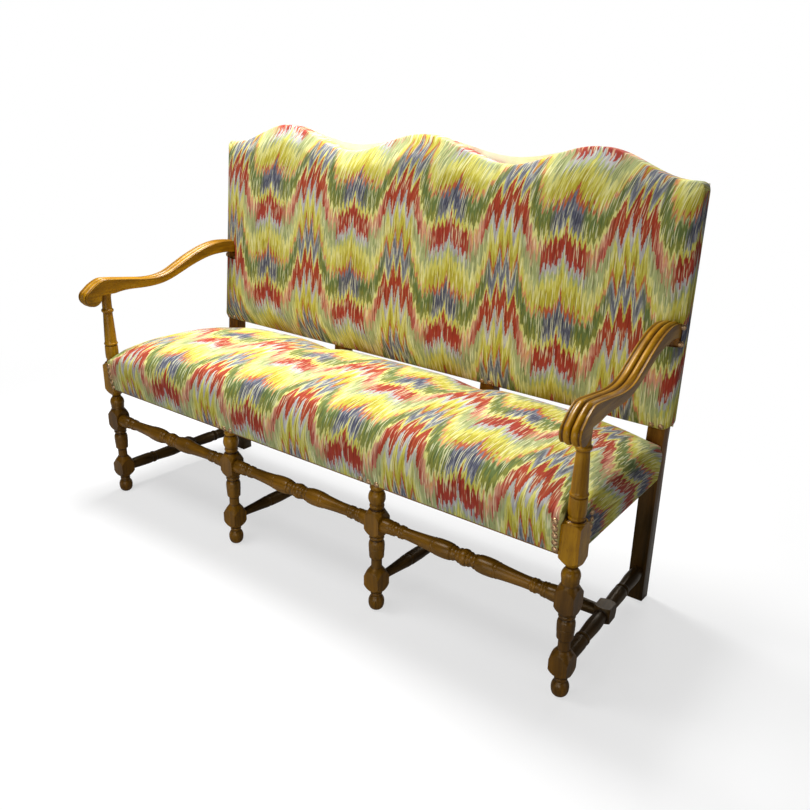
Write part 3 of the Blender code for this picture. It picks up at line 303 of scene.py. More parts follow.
# %% Sizes and dyes of the pattern
tile_width, repeat_height, thread_width = 0.346, 0.267, 0.0021
deepest = 0.2
comb_teeth = [
    (0.0, 0.060), (0.0115, 0.0), (0.0265, 0.084), (0.042, 0.030), (0.054, 0.084), (0.060, 0.080), (0.068, 0.124),
    (0.075, 0.116), (0.083, 0.156), (0.090, 0.142), (0.098, 0.176), (0.105, 0.144), (0.112, 0.170), (0.119, 0.140),
    (0.126, 0.164), (0.133, 0.136), (0.140, 0.158), (0.147, 0.132), (0.154, 0.152), (0.160, 0.124), (0.165, 0.138),
    (0.173, 0.096)]
brick, crimson, rust = srgb(156, 56, 36), srgb(154, 58, 50), srgb(172, 86, 50)
rose, pink, peach = srgb(178, 88, 78), srgb(204, 150, 122), srgb(206, 146, 92)
mustard, yellow, straw, cream = srgb(178, 165, 54), srgb(197, 190, 84), srgb(213, 209, 134), srgb(236, 233, 190)
olive, green, sage = srgb(128, 130, 58), srgb(96, 112, 62), srgb(158, 166, 112)
navy, slate, blue_grey, lilac = srgb(72, 74, 92), srgb(106, 108, 118), srgb(142, 144, 148), srgb(176, 174, 172)
# Each band is the level at which it starts, its dye and the dye of its streaks.
comb_bands = [
    (0.0, brick, rust), (0.25, yellow, straw), (0.315, blue_grey, slate), (0.385, slate, navy),
    (0.49, blue_grey, straw), (0.55, rust, mustard), (0.625, mustard, yellow), (0.76, yellow, straw),
    (0.87, lilac, blue_grey)]
slope_bands = [
    (0.0, rose, pink), (0.13, pink, rose), (0.235, straw, yellow), (0.30, olive, green), (0.39, green, olive),
    (0.50, olive, sage), (0.56, peach, rose), (0.61, yellow, straw), (0.70, straw, sage), (0.78, sage, straw),
    (0.90, sage, pink)]
flank_bands = [
    (0.0, sage, pink), (0.10, pink, peach), (0.18, peach, straw), (0.235, straw, yellow), (0.30, olive, green),
    (0.40, green, olive), (0.52, sage, olive), (0.56, peach, rose), (0.61, yellow, mustard), (0.72, straw, yellow),
    (0.82, sage, straw), (0.92, sage, green)]
crest_bands = [
    (0.0, crimson, rose), (0.05, brick, crimson), (0.215, yellow, straw), (0.285, slate, lilac), (0.36, navy, slate),
    (0.47, slate, blue_grey), (0.53, rust, rose), (0.60, mustard, yellow), (0.74, yellow, straw), (0.85, sage, straw),
    (0.92, lilac, blue_grey)]
print("half a repeat has", len(comb_teeth), "points; a repeat is", tile_width, "m wide")


# %% The flame-stitch group
def band_ramp(level, bands, which, soft=0.010):
    """A ramp with one colour a band; near each edge two stops make a narrow blend."""
    node = put(level.tree, "ShaderNodeValToRGB", {"Fac": level})
    stops = []
    for i, band in enumerate(bands):
        end = bands[i + 1][0] if i + 1 < len(bands) else 1.0
        stops += [(band[0] + (soft if i else 0.0), band[which]), (end - soft, band[which])]
    stops.append((1.0, bands[0][which]))
    first, last = node.color_ramp.elements
    first.position, first.color = stops[0]
    last.position, last.color = stops[-1]
    for position, colour in stops[1:-1]:
        node.color_ramp.elements.new(position).color = colour
    return Signal(level.tree, node.outputs["Color"])


flame, given, out = new_group("Flame stitch", {"Cloth": "Vector"}, {"Color": "Color", "Height": "Float"})
across, up = (axis(given["Cloth"], way) for way in "XY")
thread = across.math("SNAP", thread_width)
# Three noises run along the threads: sway moves them in bundles, and fray and shade change from thread to thread.
sway = noise(point(thread * 230.0, up * 6.0), 1.0, 2.0, 0.7)
fray = noise(point(thread * 478.0, up * 11.0, 3.0), 1.0, 1.0, 0.6)
distance = thread.math("PINGPONG", tile_width / 2)
curve = put(flame, "ShaderNodeFloatCurve", {"Value": distance / (tile_width / 2)})
points = curve.mapping.curves[0].points
teeth = [(x * 2 / tile_width, drop / deepest) for x, drop in comb_teeth]
points[0].location, points[1].location = teeth[0], teeth[-1]
for tooth in teeth[1:-1]:
    points.new(*tooth)
for tip in points:
    tip.handle_type = "VECTOR"
curve.mapping.update()
drop = Signal(flame, curve.outputs[0]) * deepest
shift = ((sway - 0.5) * distance.remap(0.06, 0.12, 0.010, 0.055)
         + (fray - 0.5) * distance.remap(0.05, 0.10, 0.009, 0.026))
level = ((up + drop + shift) / repeat_height).math("FRACT")
streak = (fray * 0.7 + sway * 0.3).remap(0.48, 0.60)
reach = distance + (sway + fray - 1.0) * 0.035
# From the middle of the comb outward the slope, the flank and the crest take over in turn. The comb keeps its red
# band a little longer, and the flank its green ones.
red_keeps, flank_keeps = 0.018, 0.022
in_red = level.math("LESS_THAN", comb_bands[1][0])
in_green = level.remap(0.27, 0.30) * level.remap(0.58, 0.54)
shares = (None, (reach - in_red * red_keeps).remap(0.034, 0.056), reach.remap(0.070, 0.092),
          (reach - in_green * flank_keeps).remap(0.100, 0.118))
for bands, share in zip((comb_bands, slope_bands, flank_bands, crest_bands), shares):
    colour = mix(band_ramp(level, bands, 1), band_ramp(level, bands, 2), streak * 0.55)
    dyed = mix(dyed, colour, share) if share else colour
shade = noise(point(thread * 588.0, up * 16.0, 5.0), 1.0, 1.0)
dyed = mix(dyed, (0.60, 0.57, 0.54, 1), shade.remap(0.30, 0.50, 1.0, 0.0), "MULTIPLY")
mix(dyed, cream, shade.remap(0.56, 0.68) * 0.55).into(out["Color"])
ribs = (across * (pi / thread_width)).math("SINE").math("ABSOLUTE")
slubs = noise(point(across * 500.0, up * 260.0), 1.0, 2.0)
(ribs * 0.6 + slubs * 0.8).into(out["Height"])
print("flame stitch group:", len(flame.nodes), "nodes")


# %% Cloth materials
def make_flame_cloth(name, shift_x, shift_y, scale_x=1.0, scale_y=1.0):
    material, tree, shader = new_material(
        name, 0.85, Sheen_Weight=0.06, Sheen_Roughness=0.5, Specular_IOR_Level=0.10)
    cloth = placed(wire(tree, "ShaderNodeUVMap", uv_map="cloth"), Location=(shift_x, shift_y, 0),
                   Scale=(scale_x, scale_y, 1))
    use_group(shader, tree, flame, {"Cloth": cloth}, distance=0.0005, strength=0.6)
    return material


seat_tile, seat_repeat = 0.334, 0.262
back_cloth = make_flame_cloth("flame cloth of the back", 0.051, -0.2713)
seat_cloth = make_flame_cloth("flame cloth of the seat", -0.0135, -0.1768, tile_width / seat_tile,
                              repeat_height / seat_repeat)
print("cloth materials:", back_cloth.name, "and", seat_cloth.name)

# %% [markdown]
# The outside back is a plain cream cotton, the webbing is jute and the dust cover is thin black cambric. All three
# are plain weaves, so they share one group that crosses two sets of threads.

# %% The plain weave group
weave, given, out = new_group(
    "Plain weave", {"Place": "Vector", "Thread": "Float", "Light": "Color", "Dark": "Color"},
    {"Color": "Color", "Height": "Float"})
warp, weft = ((axis(given["Place"], way) * pi / given["Thread"]).math("SINE") for way in "XY")
cross = warp * weft
uneven, rough = noise(given["Place"], 35.0, 4.0), noise(given["Place"], 900.0)
share = (cross * 0.18 + (uneven * 0.6 + rough * 0.4)).remap(0.25, 0.75)
mix(given["Dark"], given["Light"], share).into(out["Color"])
(cross * 0.5 + rough * 0.5).into(out["Height"])


def make_weave(name, light, dark, thread_size, turned=(0, 0, 0)):
    material, tree, shader = new_material(name, 0.9, Sheen_Weight=0.15, Specular_IOR_Level=0.25)
    values = {"Place": placed(own_place(tree), Rotation=turned), "Thread": thread_size, "Light": light, "Dark": dark}
    use_group(shader, tree, weave, values, distance=0.0004, strength=0.5)
    return material


lining_cloth = make_weave("cream cotton", srgb(250, 248, 222), srgb(236, 232, 196), 0.0010, (radians(90), 0, 0))
jute = make_weave("jute webbing", srgb(176, 146, 100), srgb(120, 92, 56), 0.0022)
cambric = make_weave("black cambric", srgb(46, 44, 44), srgb(24, 23, 24), 0.0008)
print("plain cloths:", lining_cloth.name, jute.name, cambric.name)

# %% [markdown]
# The nails are small antique brass domes: dull brown in the hollows, brighter where hands and dusters have rubbed.

# %% The nail brass
brass, tree, shader = new_material("antique brass", Metallic=1.0)
spots = noise(own_place(tree), 380.0, 3.0)
mix(srgb(150, 116, 84), srgb(214, 180, 138), spots.remap(0.35, 0.65)).into(shader.inputs["Base Color"])
spots.remap(0.3, 0.7, 0.58, 0.40).into(shader.inputs["Roughness"])
bump(shader, spots, distance=0.0002, strength=0.4)
print("material:", brass.name)

# %% [markdown]
# ## Bench tools
# All pieces are made lying at the origin and then moved by their mesh, so that each finished object sits at the
# origin as the frame's own pieces do. Everything is deselected before a new piece starts, because Blender's tools
# act on all that is selected.

# %% Start and finish a piece
def start_clean():
    if bpy.context.mode != "OBJECT":
        bpy.ops.object.mode_set(mode="OBJECT")
    bpy.ops.object.select_all(action="DESELECT")


def pick(item):
    start_clean()
    item.select_set(True)
    bpy.context.view_layer.objects.active = item


def open_mesh(item):
    """Go into edit mode with the whole of the piece selected."""
    pick(item)
    bpy.ops.object.mode_set(mode="EDIT")
    bpy.ops.mesh.select_all(action="SELECT")


def close_mesh():
    bpy.ops.object.mode_set(mode="OBJECT")


def weld(distance=0.00001):
    bpy.ops.mesh.select_all(action="SELECT")
    bpy.ops.mesh.remove_doubles(threshold=distance)


def choose_edges(item, wanted):
    """Select the edges for which wanted(edge) holds."""
    bpy.ops.mesh.select_all(action="DESELECT")
    mesh = bmesh.from_edit_mesh(item.data)
    for edge in mesh.edges:
        edge.select_set(wanted(edge))
    bmesh.update_edit_mesh(item.data)


def apply_all(item):
    pick(item)
    for modifier in list(item.modifiers):
        bpy.ops.object.modifier_apply(modifier=modifier.name)


def finish_piece(item, name, material, stands_for=(), smooth=32):
    pick(item)
    item.name = item.data.name = name
    bpy.ops.object.shade_smooth_by_angle(angle=radians(smooth))
    item.data.materials.clear()
    item.data.materials.append(material)
    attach(item, "root")
    if stands_for:
        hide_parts(*stands_for)
    return item


def copy_piece(item):
    """A second piece of the same shape, with a mesh of its own."""
    twin = item.copy()
    twin.data = item.data.copy()
    bpy.context.scene.collection.objects.link(twin)
    return twin


def places(item):
    """The corners of a piece's mesh as an array, one row each."""
    found = np.empty(len(item.data.vertices) * 3)
    item.data.vertices.foreach_get("co", found)
    return found.reshape(-1, 3)


def set_places(item, found):
    item.data.vertices.foreach_set("co", np.asarray(found, float).ravel())
    item.data.update()


def note_wood(item, grain, groove):
    """Store where each corner lay in the plank, and how deep in a groove or proud on a ring it is."""
    for name, kind, part, found in (("grain", "FLOAT_VECTOR", "vector", grain),
                                    ("groove", "FLOAT", "value", np.clip(groove, -1, 1))):
        stored = item.data.attributes.new(name, kind, "POINT")
        stored.data.foreach_set(part, np.asarray(found, np.float32).ravel())


print("bench tools are ready")

# %% [markdown]
# ## Turned wood
# A turner shapes a square bar on a lathe: the bar keeps its square blocks, and between them the tool cuts vases,
# balls and rings. It could be lofted from many circles, but Blender can work as the lathe does: a profile is drawn
# point by point, spun round its axis, and the round shape is then trimmed by a square bar. Where the profile is
# wider than the bar, the flat faces stay, with the curved shoulders that a real turned block has.

# %% Draw and spin a profile
def smooth_profile(points, steps=4):
    """Points on a smooth line through the given (height, radius) ones, which never swings past them."""
    h, r = np.array(points).T
    slope = np.diff(r) / np.diff(h)
    lean = np.zeros(len(h))
    for i in range(1, len(h) - 1):
        if slope[i - 1] * slope[i] > 0:
            before, after = h[i] - h[i - 1], h[i + 1] - h[i]
            w1, w2 = 2 * after + before, after + 2 * before
            lean[i] = (w1 + w2) / (w1 / slope[i - 1] + w2 / slope[i])
    lean[0], lean[-1] = slope[0], slope[-1]
    result = []
    for i in range(len(h) - 1):
        wide = h[i + 1] - h[i]
        for t in np.arange(steps) / steps:
            result.append((h[i] + t * wide,
                           (1 + 2 * t) * (1 - t) ** 2 * r[i] + t * (1 - t) ** 2 * wide * lean[i]
                           + t * t * (3 - 2 * t) * r[i + 1] + t * t * (t - 1) * wide * lean[i + 1]))
    return result + [tuple(points[-1])]


def stack(parts, top, gap=0.0004):
    """A profile from (start, shares, radius) parts, each of which ends a gap below the next one's start."""
    profile = []
    for i, (low, shares, radius) in enumerate(parts):
        high = parts[i + 1][0] - gap if i + 1 < len(parts) else top
        profile += [(low + share_h * (high - low), share_r * radius) for share_h, share_r in shares]
    return profile


def both_ways(half):
    return [(-h, r) for h, r in reversed(half[1:])] + half


def spin_profile(profile, segments=48):
    """Draw the profile up the Z axis from one corner, then spin it into a closed round solid."""
    start_clean()
    bpy.ops.mesh.primitive_plane_add(size=0.01, location=(0, 0, 0))
    item = bpy.context.object
    open_mesh(item)
    bpy.ops.mesh.merge(type="CENTER")
    line = [(profile[0][0], 0.0)] + list(profile) + [(profile[-1][0], 0.0)]
    bpy.ops.transform.translate(value=(0, 0, line[0][0]))
    for (h0, r0), (h1, r1) in zip(line, line[1:]):
        bpy.ops.mesh.extrude_region_move(TRANSFORM_OT_translate={"value": (r1 - r0, 0, h1 - h0)})
    bpy.ops.mesh.select_all(action="SELECT")
    bpy.ops.mesh.spin(steps=segments, angle=2 * pi, center=(0, 0, 0), axis=(0, 0, 1))
    weld(0.00002)
    bpy.ops.mesh.normals_make_consistent(inside=False)
    close_mesh()
    return item


def make_box(low, high):
    start_clean()
    bpy.ops.mesh.primitive_cube_add(size=1, location=(0, 0, 0))
    box = bpy.context.object
    low, high = Vector(low), Vector(high)
    box.data.transform(Matrix.Translation((low + high) / 2) @ Matrix.Diagonal((*(high - low), 1)))
    return box


def square_bar(side, low, high, worn_by=0.0012):
    """A square bar along Z whose long edges are a little rounded."""
    bar = make_box((-side / 2, -side / 2, low), (side / 2, side / 2, high))
    open_mesh(bar)
    choose_edges(bar, lambda edge: abs(edge.verts[1].co.z - edge.verts[0].co.z) > 0.9 * edge.calc_length())
    bpy.ops.mesh.bevel(offset=worn_by, segments=3)
    close_mesh()
    return bar


def trim_with(item, bar, operation="INTERSECT"):
    cut = item.modifiers.new("trim", "BOOLEAN")
    cut.operation, cut.solver, cut.object = operation, "EXACT", bar
    apply_all(item)
    bpy.data.objects.remove(bar, do_unlink=True)


def move_grain(item, amount):
    """Cut this copy from another place in the plank."""
    stored = item.data.attributes["grain"].data
    found = np.empty(len(stored) * 3, np.float32)
    stored.foreach_get("vector", found)
    stored.foreach_set("vector", (found.reshape(-1, 3) + np.array(amount, np.float32)).ravel())


# A corner counts as deep in a groove or proud on a ring by how far the profile near it lies outside or inside it.
groove_reach, groove_full = 0.007, 0.0028


def turn_piece(profile, side, plank):
    """A turned piece lying along Z; with a side given, square blocks stay where the profile is wider."""
    line = smooth_profile(profile)
    item = spin_profile(line)
    if side:
        trim_with(item, square_bar(side, line[0][0] - 0.01, line[-1][0] + 0.01))
    found = places(item)
    heights, radii = np.array(line).T
    steps = np.linspace(-groove_reach, groove_reach, 9)
    nearby = [np.interp(found[:, 2] + step, heights, radii) for step in steps]
    groove = (np.mean(nearby, axis=0) - np.interp(found[:, 2], heights, radii)) / groove_full
    note_wood(item, found + np.array(plank), groove)
    return item


def lay(item, start, end):
    """Lay a piece that was made along Z on the line from start to end, one flat side up."""
    start, end = Vector(start), Vector(end)
    along = (end - start).normalized()
    sideways = along.cross(Vector((0, 0, 1))).normalized()
    turn = Matrix((sideways, sideways.cross(-along), along)).transposed().to_4x4() if sideways.length else Matrix()
    item.data.transform(Matrix.Translation(start) @ turn)


def turn_pair(name, slot, material, profile, side, plank, other_plank, start, end):
    """Turn a piece for the right and copy it, from another place in the plank, for the left."""
    right = turn_piece(profile, side, plank)
    left = copy_piece(right)
    move_grain(left, other_plank)
    for item, way, label in ((right, 1, name + "_right"), (left, -1, name + "_left")):
        lay(item, *((way * x, y, z) for x, y, z in (start, end)))
        finish_piece(item, "turned_" + label, material, [label])
    print("turned a pair:", name, "with", len(right.data.polygons), "faces each")


print("the lathe is ready")

# %% [markdown]
# ### The front legs
# From the floor up a leg has a ball foot, a square block for the low stretchers, a vase, a second block for the
# front stretcher, a ball and the seat block. The two corner legs go on above the seat as slim posts that carry the
# arms. The middle legs end in a ball under the front rail. Each list gives shares of a part's height and radius.

# %% Turn the front legs
block_side, turned_radius = 0.045, 0.020
corner_share = 1.02 / sqrt(2)
corner_radius = block_side * corner_share
foot_shares = [
    (0, 0.56), (0.04, 0.70), (0.12, 0.86), (0.28, 0.98), (0.45, 1.01), (0.58, 0.96), (0.69, 0.84), (0.76, 0.73),
    (0.81, 0.69), (0.86, 0.72), (0.90, 0.74), (0.95, 0.70), (1, 0.68)]
vase_shares = [
    (0, 0.70), (0.08, 0.68), (0.20, 0.675), (0.28, 0.69), (0.30, 0.78), (0.32, 0.90), (0.345, 0.92), (0.44, 0.94),
    (0.56, 0.98), (0.60, 0.985), (0.615, 0.96), (0.63, 0.985), (0.70, 1.0), (0.77, 0.985), (0.83, 0.91),
    (0.87, 0.80), (0.89, 0.77), (0.905, 0.80), (0.92, 0.90), (0.945, 0.94), (0.975, 0.92), (1, 0.88)]
ball_shares = [
    (0, 0.96), (0.05, 0.93), (0.10, 0.94), (0.20, 0.97), (0.26, 0.955), (0.30, 0.975), (0.42, 1.02), (0.54, 1.04),
    (0.65, 1.01), (0.75, 0.94), (0.84, 0.82), (0.91, 0.70), (1, 0.62)]
rail_ball_shares = [
    (0, 0.86), (0.04, 0.80), (0.08, 0.84), (0.13, 0.92), (0.18, 0.90), (0.21, 0.82), (0.25, 0.86), (0.33, 0.98),
    (0.44, 1.06), (0.55, 1.04), (0.65, 0.93), (0.72, 0.80), (0.76, 0.74), (0.79, 0.80), (0.84, 0.88), (0.90, 0.86),
    (0.94, 0.80), (1, 0.80)]
post_shares = [
    (0, 1.20), (0.012, 1.17), (0.016, 1.0), (0.02, 0.88), (0.045, 0.89), (0.054, 0.84), (0.064, 0.85), (0.08, 0.93),
    (0.12, 0.965), (0.17, 0.97), (0.24, 0.955), (0.256, 0.93), (0.262, 0.86), (0.270, 0.88), (0.278, 0.98),
    (0.288, 1.0), (0.298, 0.97), (0.306, 0.90), (0.40, 0.85), (0.50, 0.80), (0.62, 0.745), (0.72, 0.69),
    (0.732, 0.70), (0.742, 0.83), (0.757, 0.89), (0.773, 0.87), (0.785, 0.74), (0.795, 0.71), (0.86, 0.70),
    (0.94, 0.705), (0.975, 0.76), (1, 0.78)]
low_block = [
    (0, 0.46), (0.03, 0.52), (0.09, 0.66), (0.17, 0.83), (0.25, 0.95), (0.32, 1.0), (0.60, 1.0), (0.70, 0.89),
    (0.78, 0.79), (0.86, 0.68), (0.93, 0.56), (1, 0.45)]
high_block = [
    (0, 0.56), (0.03, 0.60), (0.08, 0.69), (0.16, 0.84), (0.24, 0.95), (0.31, 1.0), (0.70, 1.0), (0.78, 0.91),
    (0.85, 0.81), (0.92, 0.71), (0.97, 0.64), (1, 0.60)]
seat_block = [
    (0, 0.36), (0.05, 0.48), (0.10, 0.64), (0.17, 0.84), (0.24, 1.0), (0.93, 1.0), (0.96, 0.90), (0.985, 0.80),
    (1, 0.72)]
ball_z, rail_z, seat_block_z, post_z = 0.280, 0.350, 0.322, 0.4275
lower_leg = [(0.0, foot_shares, turned_radius), (0.050, low_block, corner_radius),
             (0.1205, vase_shares, turned_radius), (0.2085, high_block, corner_radius)]
corner_profile = stack(lower_leg + [(ball_z, ball_shares, turned_radius), (seat_block_z, seat_block, corner_radius),
                                    (post_z, post_shares, turned_radius)], post_top)
middle_profile = stack(lower_leg + [(ball_z, rail_ball_shares, turned_radius)], rail_z - joint_gap)
for name, material, profile, x, planks in (
        ("front_leg", corner_wood, corner_profile, leg_x, ((0.3, 0.1, 0.0), (0.5, 0.9, 0.2))),
        ("front_leg_middle", honey_wood, middle_profile, middle_leg_x, ((0.7, 0.4, 0.9), (0.2, 0.6, 0.4)))):
    turn_pair(name, "turned_wood", material, profile, block_side, *planks, (x, leg_y, 0), (x, leg_y, 1))

# %% [markdown]
# ### The stretchers
# The three front stretchers are the richest: from a ring in the middle each side swells and tapers to the block.
# The low ones at the sides and under the seat are plainer. The side ones keep a square block where the long one,
# which runs across under the seat, meets them.

# %% Turn the front stretchers
front_shares = [
    (0, 1.02), (0.018, 1.0), (0.030, 0.93), (0.038, 0.86), (0.046, 0.88), (0.055, 0.90), (0.064, 0.87), (0.072, 0.80),
    (0.085, 0.77), (0.103, 0.79), (0.114, 0.86), (0.124, 0.90), (0.133, 0.89), (0.141, 0.85), (0.148, 0.92),
    (0.156, 0.98), (0.19, 1.04), (0.24, 1.07), (0.30, 1.05), (0.34, 1.01), (0.348, 0.965), (0.357, 0.96),
    (0.365, 0.985), (0.372, 0.97), (0.378, 0.93), (0.39, 0.915), (0.46, 0.85), (0.54, 0.79), (0.62, 0.745),
    (0.69, 0.715), (0.72, 0.715), (0.73, 0.76), (0.74, 0.82), (0.75, 0.81), (0.757, 0.77), (0.765, 0.81),
    (0.775, 0.84), (0.785, 0.80), (0.793, 0.74), (0.805, 0.715), (0.825, 0.72), (0.84, 0.80), (0.848, 0.86),
    (0.857, 0.85), (0.863, 0.81), (0.871, 0.86), (0.88, 0.89), (0.888, 0.87), (0.895, 0.83), (0.903, 0.86),
    (0.92, 0.895), (0.96, 0.93), (1, 0.94)]
half_front = (leg_x - middle_leg_x - block_side) / 2 - joint_gap
side_x = (leg_x + middle_leg_x) / 2
first = turn_piece(both_ways(stack([(0, front_shares, turned_radius)], half_front)), 0, (0.1, 0.8, 0.3))
for i, (name, x) in enumerate((("left", -side_x), ("centre", 0.0), ("right", side_x))):
    item = first if i == 2 else copy_piece(first)
    move_grain(item, (0.37 * i, 0.21 * i, 0.5 * i))
    lay(item, (x, leg_y, front_stretcher_z), (x + 1, leg_y, front_stretcher_z))
    finish_piece(item, "turned_front_stretcher_" + name, honey_wood, ["front_stretcher_" + name])
print("front stretchers:", round(2 * half_front, 3), "m between the legs")

# %% Turn the low stretchers
span_shares = [
    (0, 0.88), (0.05, 0.93), (0.18, 0.99), (0.33, 1.02), (0.38, 0.98), (0.40, 0.92), (0.415, 0.96), (0.43, 1.02),
    (0.45, 1.02), (0.465, 0.95), (0.48, 0.90), (0.50, 0.90), (0.62, 0.96), (0.78, 1.02), (0.88, 0.98), (0.94, 0.90),
    (1, 0.84)]
short_shares = [
    (0, 0.62), (0.06, 0.64), (0.22, 0.74), (0.40, 0.88), (0.50, 0.97), (0.515, 0.93), (0.53, 0.92), (0.545, 0.98),
    (0.57, 1.0), (0.72, 1.0), (0.86, 0.94), (1, 0.86)]
long_shares = [
    (0, 0.92), (0.30, 0.86), (0.34, 0.90), (0.36, 0.95), (0.56, 0.95), (0.58, 0.88), (0.62, 0.84), (0.90, 0.94),
    (1, 0.86)]
cross_block = [
    (0, 0.55), (0.04, 0.66), (0.09, 0.80), (0.14, 0.92), (0.19, 1.0), (0.81, 1.0), (0.86, 0.92), (0.91, 0.80),
    (0.96, 0.66), (1, 0.55)]
low_radius, low_block_side, low_block_length, long_drop, end_gap = 0.0175, 0.040, 0.052, 0.004, 0.0004
# The short ones stop this far before the middle of the long one, and the long one this far inside its plain piece.
short_stop, long_stop = 0.014, 0.0096
leg_back = leg_y + block_side / 2
lead = (rear_leg_x - leg_x) * (leg_back - leg_y) / (rear_leg_y - leg_y)
side_start, side_end = Vector((leg_x + lead, leg_back, stretcher_z)), Vector((rear_leg_x, rear_leg_y, stretcher_z))
side_length = (side_end - side_start).length
side_middle = side_length * (long_stretcher_y - leg_back) / (rear_leg_y - leg_back)
side_profile = stack([(end_gap, span_shares, low_radius),
                      (side_middle - low_block_length / 2, cross_block, low_block_side * corner_share),
                      (side_middle + low_block_length / 2, span_shares, low_radius)], side_length - end_gap)
turn_pair("side_stretcher", "dark_wood", dark_wood, side_profile, low_block_side, (0.15, 0.35, 0.6), (0.4, 0.4, 0.4),
          side_start, side_end)
short_length = long_stretcher_y - short_stop - leg_back
turn_pair("short_stretcher", "dark_wood", dark_wood, stack([(end_gap, short_shares, low_radius)], short_length), 0,
          (0.75, 0.3, 0.1), (0.3, 0.5, 0.2), (middle_leg_x, leg_back, stretcher_z),
          (middle_leg_x, long_stretcher_y, stretcher_z - long_drop))
long_end = abs(low_high("long_stretcher")[0].x) - long_stop
long_stretcher = turn_piece(both_ways(stack([(0, long_shares, low_radius)], long_end)), 0, (0.6, 0.1, 0.8))
lay(long_stretcher, *((x, long_stretcher_y, stretcher_z - long_drop) for x in (0, 1)))
finish_piece(long_stretcher, "turned_long_stretcher", dark_wood, ["long_stretcher"])
print("low stretchers:", round(side_length, 3), round(short_length, 3), round(2 * long_end, 3), "m long")

# %% [markdown]
# ## The arms
# Each arm is sawn from a plank, arches down from the back post, runs level and rolls over its front post in a
# scroll. Its top is moulded: two broad reeds with a deep groove between them, then a hollow and a thin reed along
# each edge, and the moulding runs on round the scroll. It could be a bevelled outline, but the reeds need many strips
# across, so a grid is laid round the outline and each strip is sunk by the moulding's depth. That is given in
# millimetres from the middle of the arm, 0, to its edge, 1.

# %% Sizes of the arm
arm_width, arm_rise, arm_length = 0.046, 0.105, 0.4746
arm_skew = atan2(leg_x - rear_leg_x, arm_length)
scroll_radius, scroll_forward, scroll_drop = 0.0265, 0.0505, 0.0045
scroll_start, scroll_sweep, strip_crowding = 128, 240, 0.92
moulding_level, moulding_swing = 0.0016, 0.0034
arm_top = [
    (1.02, 0.925), (1, 0.94), (0.93, 0.99), (0.86, 1.0), (0.78, 0.95), (0.70, 0.85), (0.61, 0.69), (0.53, 0.52),
    (0.45, 0.355), (0.375, 0.275), (0.28, 0.272), (0.14, 0.358), (0, 0.444), (-0.048, 0.415), (-0.098, 0.305)]
arm_under = [
    (0.050, 0.005), (0.080, 0.026), (0.14, 0.040), (0.27, 0.015), (0.37, 0.040), (0.45, 0.122), (0.53, 0.255),
    (0.61, 0.398), (0.70, 0.53), (0.78, 0.612), (0.86, 0.640), (0.93, 0.63), (1, 0.575), (1.02, 0.55)]
moulding = [
    (0.0, 4.6), (0.04, 3.9), (0.09, 2.5), (0.17, 0.9), (0.29, 0.0), (0.42, 0.3), (0.53, 1.4), (0.62, 2.9), (0.69, 3.8),
    (0.74, 4.1), (0.80, 3.4), (0.86, 2.6), (0.93, 2.3), (0.98, 2.7), (1.0, 3.1)]
plain_edge = [(0.0, 0.0), (0.88, 0.0), (0.94, 0.2), (0.98, 0.6), (1.0, 1.1)]
print("the arm rises", arm_rise, "m over its post")


# %% Draw the arm's outline
def through(points, steps):
    """A smooth line through a few points."""
    result = []
    last = len(points) - 1
    for i in range(last):
        p0, p1, p2, p3 = (np.array(points[min(max(i + k, 0), last)]) for k in (-1, 0, 1, 2))
        for t in np.arange(steps) / steps:
            square, cube = 2 * p0 - 5 * p1 + 4 * p2 - p3, 3 * p1 - p0 - 3 * p2 + p3
            result.append(p1 + ((p2 - p0) * t + square * t * t + cube * t ** 3) / 2)
    return result + [np.array(points[-1])]


def in_metres(shares, above=0.0):
    return [(y * arm_length, post_top + z * arm_rise + above) for y, z in shares]


scroll_steps, moulded_steps = 30, 20
top_line, under_line = through(in_metres(arm_top), 6), through(in_metres(arm_under, joint_gap), 5)
scroll_middle = np.array((-scroll_forward, post_top - scroll_drop))
angles = [radians(scroll_start + scroll_sweep * i / scroll_steps) for i in range(1, scroll_steps + 1)]
scroll = [scroll_middle + scroll_radius * np.array((cos(a), sin(a))) for a in angles]
heel = [np.array((y, post_top + joint_gap)) for y in (-0.018, 0.0, 0.018)]
outline = np.array(top_line + scroll + heel + under_line)
fading = [1 - max(0, (i - moulded_steps) / (scroll_steps - moulded_steps)) for i in range(scroll_steps)]
moulded = np.array([1.0] * len(top_line) + fading + [0.0] * (len(heel) + len(under_line)))
ahead = np.roll(outline, -1, 0) - np.roll(outline, 1, 0)
inward = np.stack([-ahead[:, 1], ahead[:, 0]], 1) / np.linalg.norm(ahead, axis=1)[:, None]
inward[0], inward[-1] = (0, -1), (0, 1)
strips = np.sin(np.linspace(-1, 1, 49) * pi / 2 * strip_crowding) / sin(pi / 2 * strip_crowding)
print("outline of", len(outline), "points,", len(strips), "strips across")


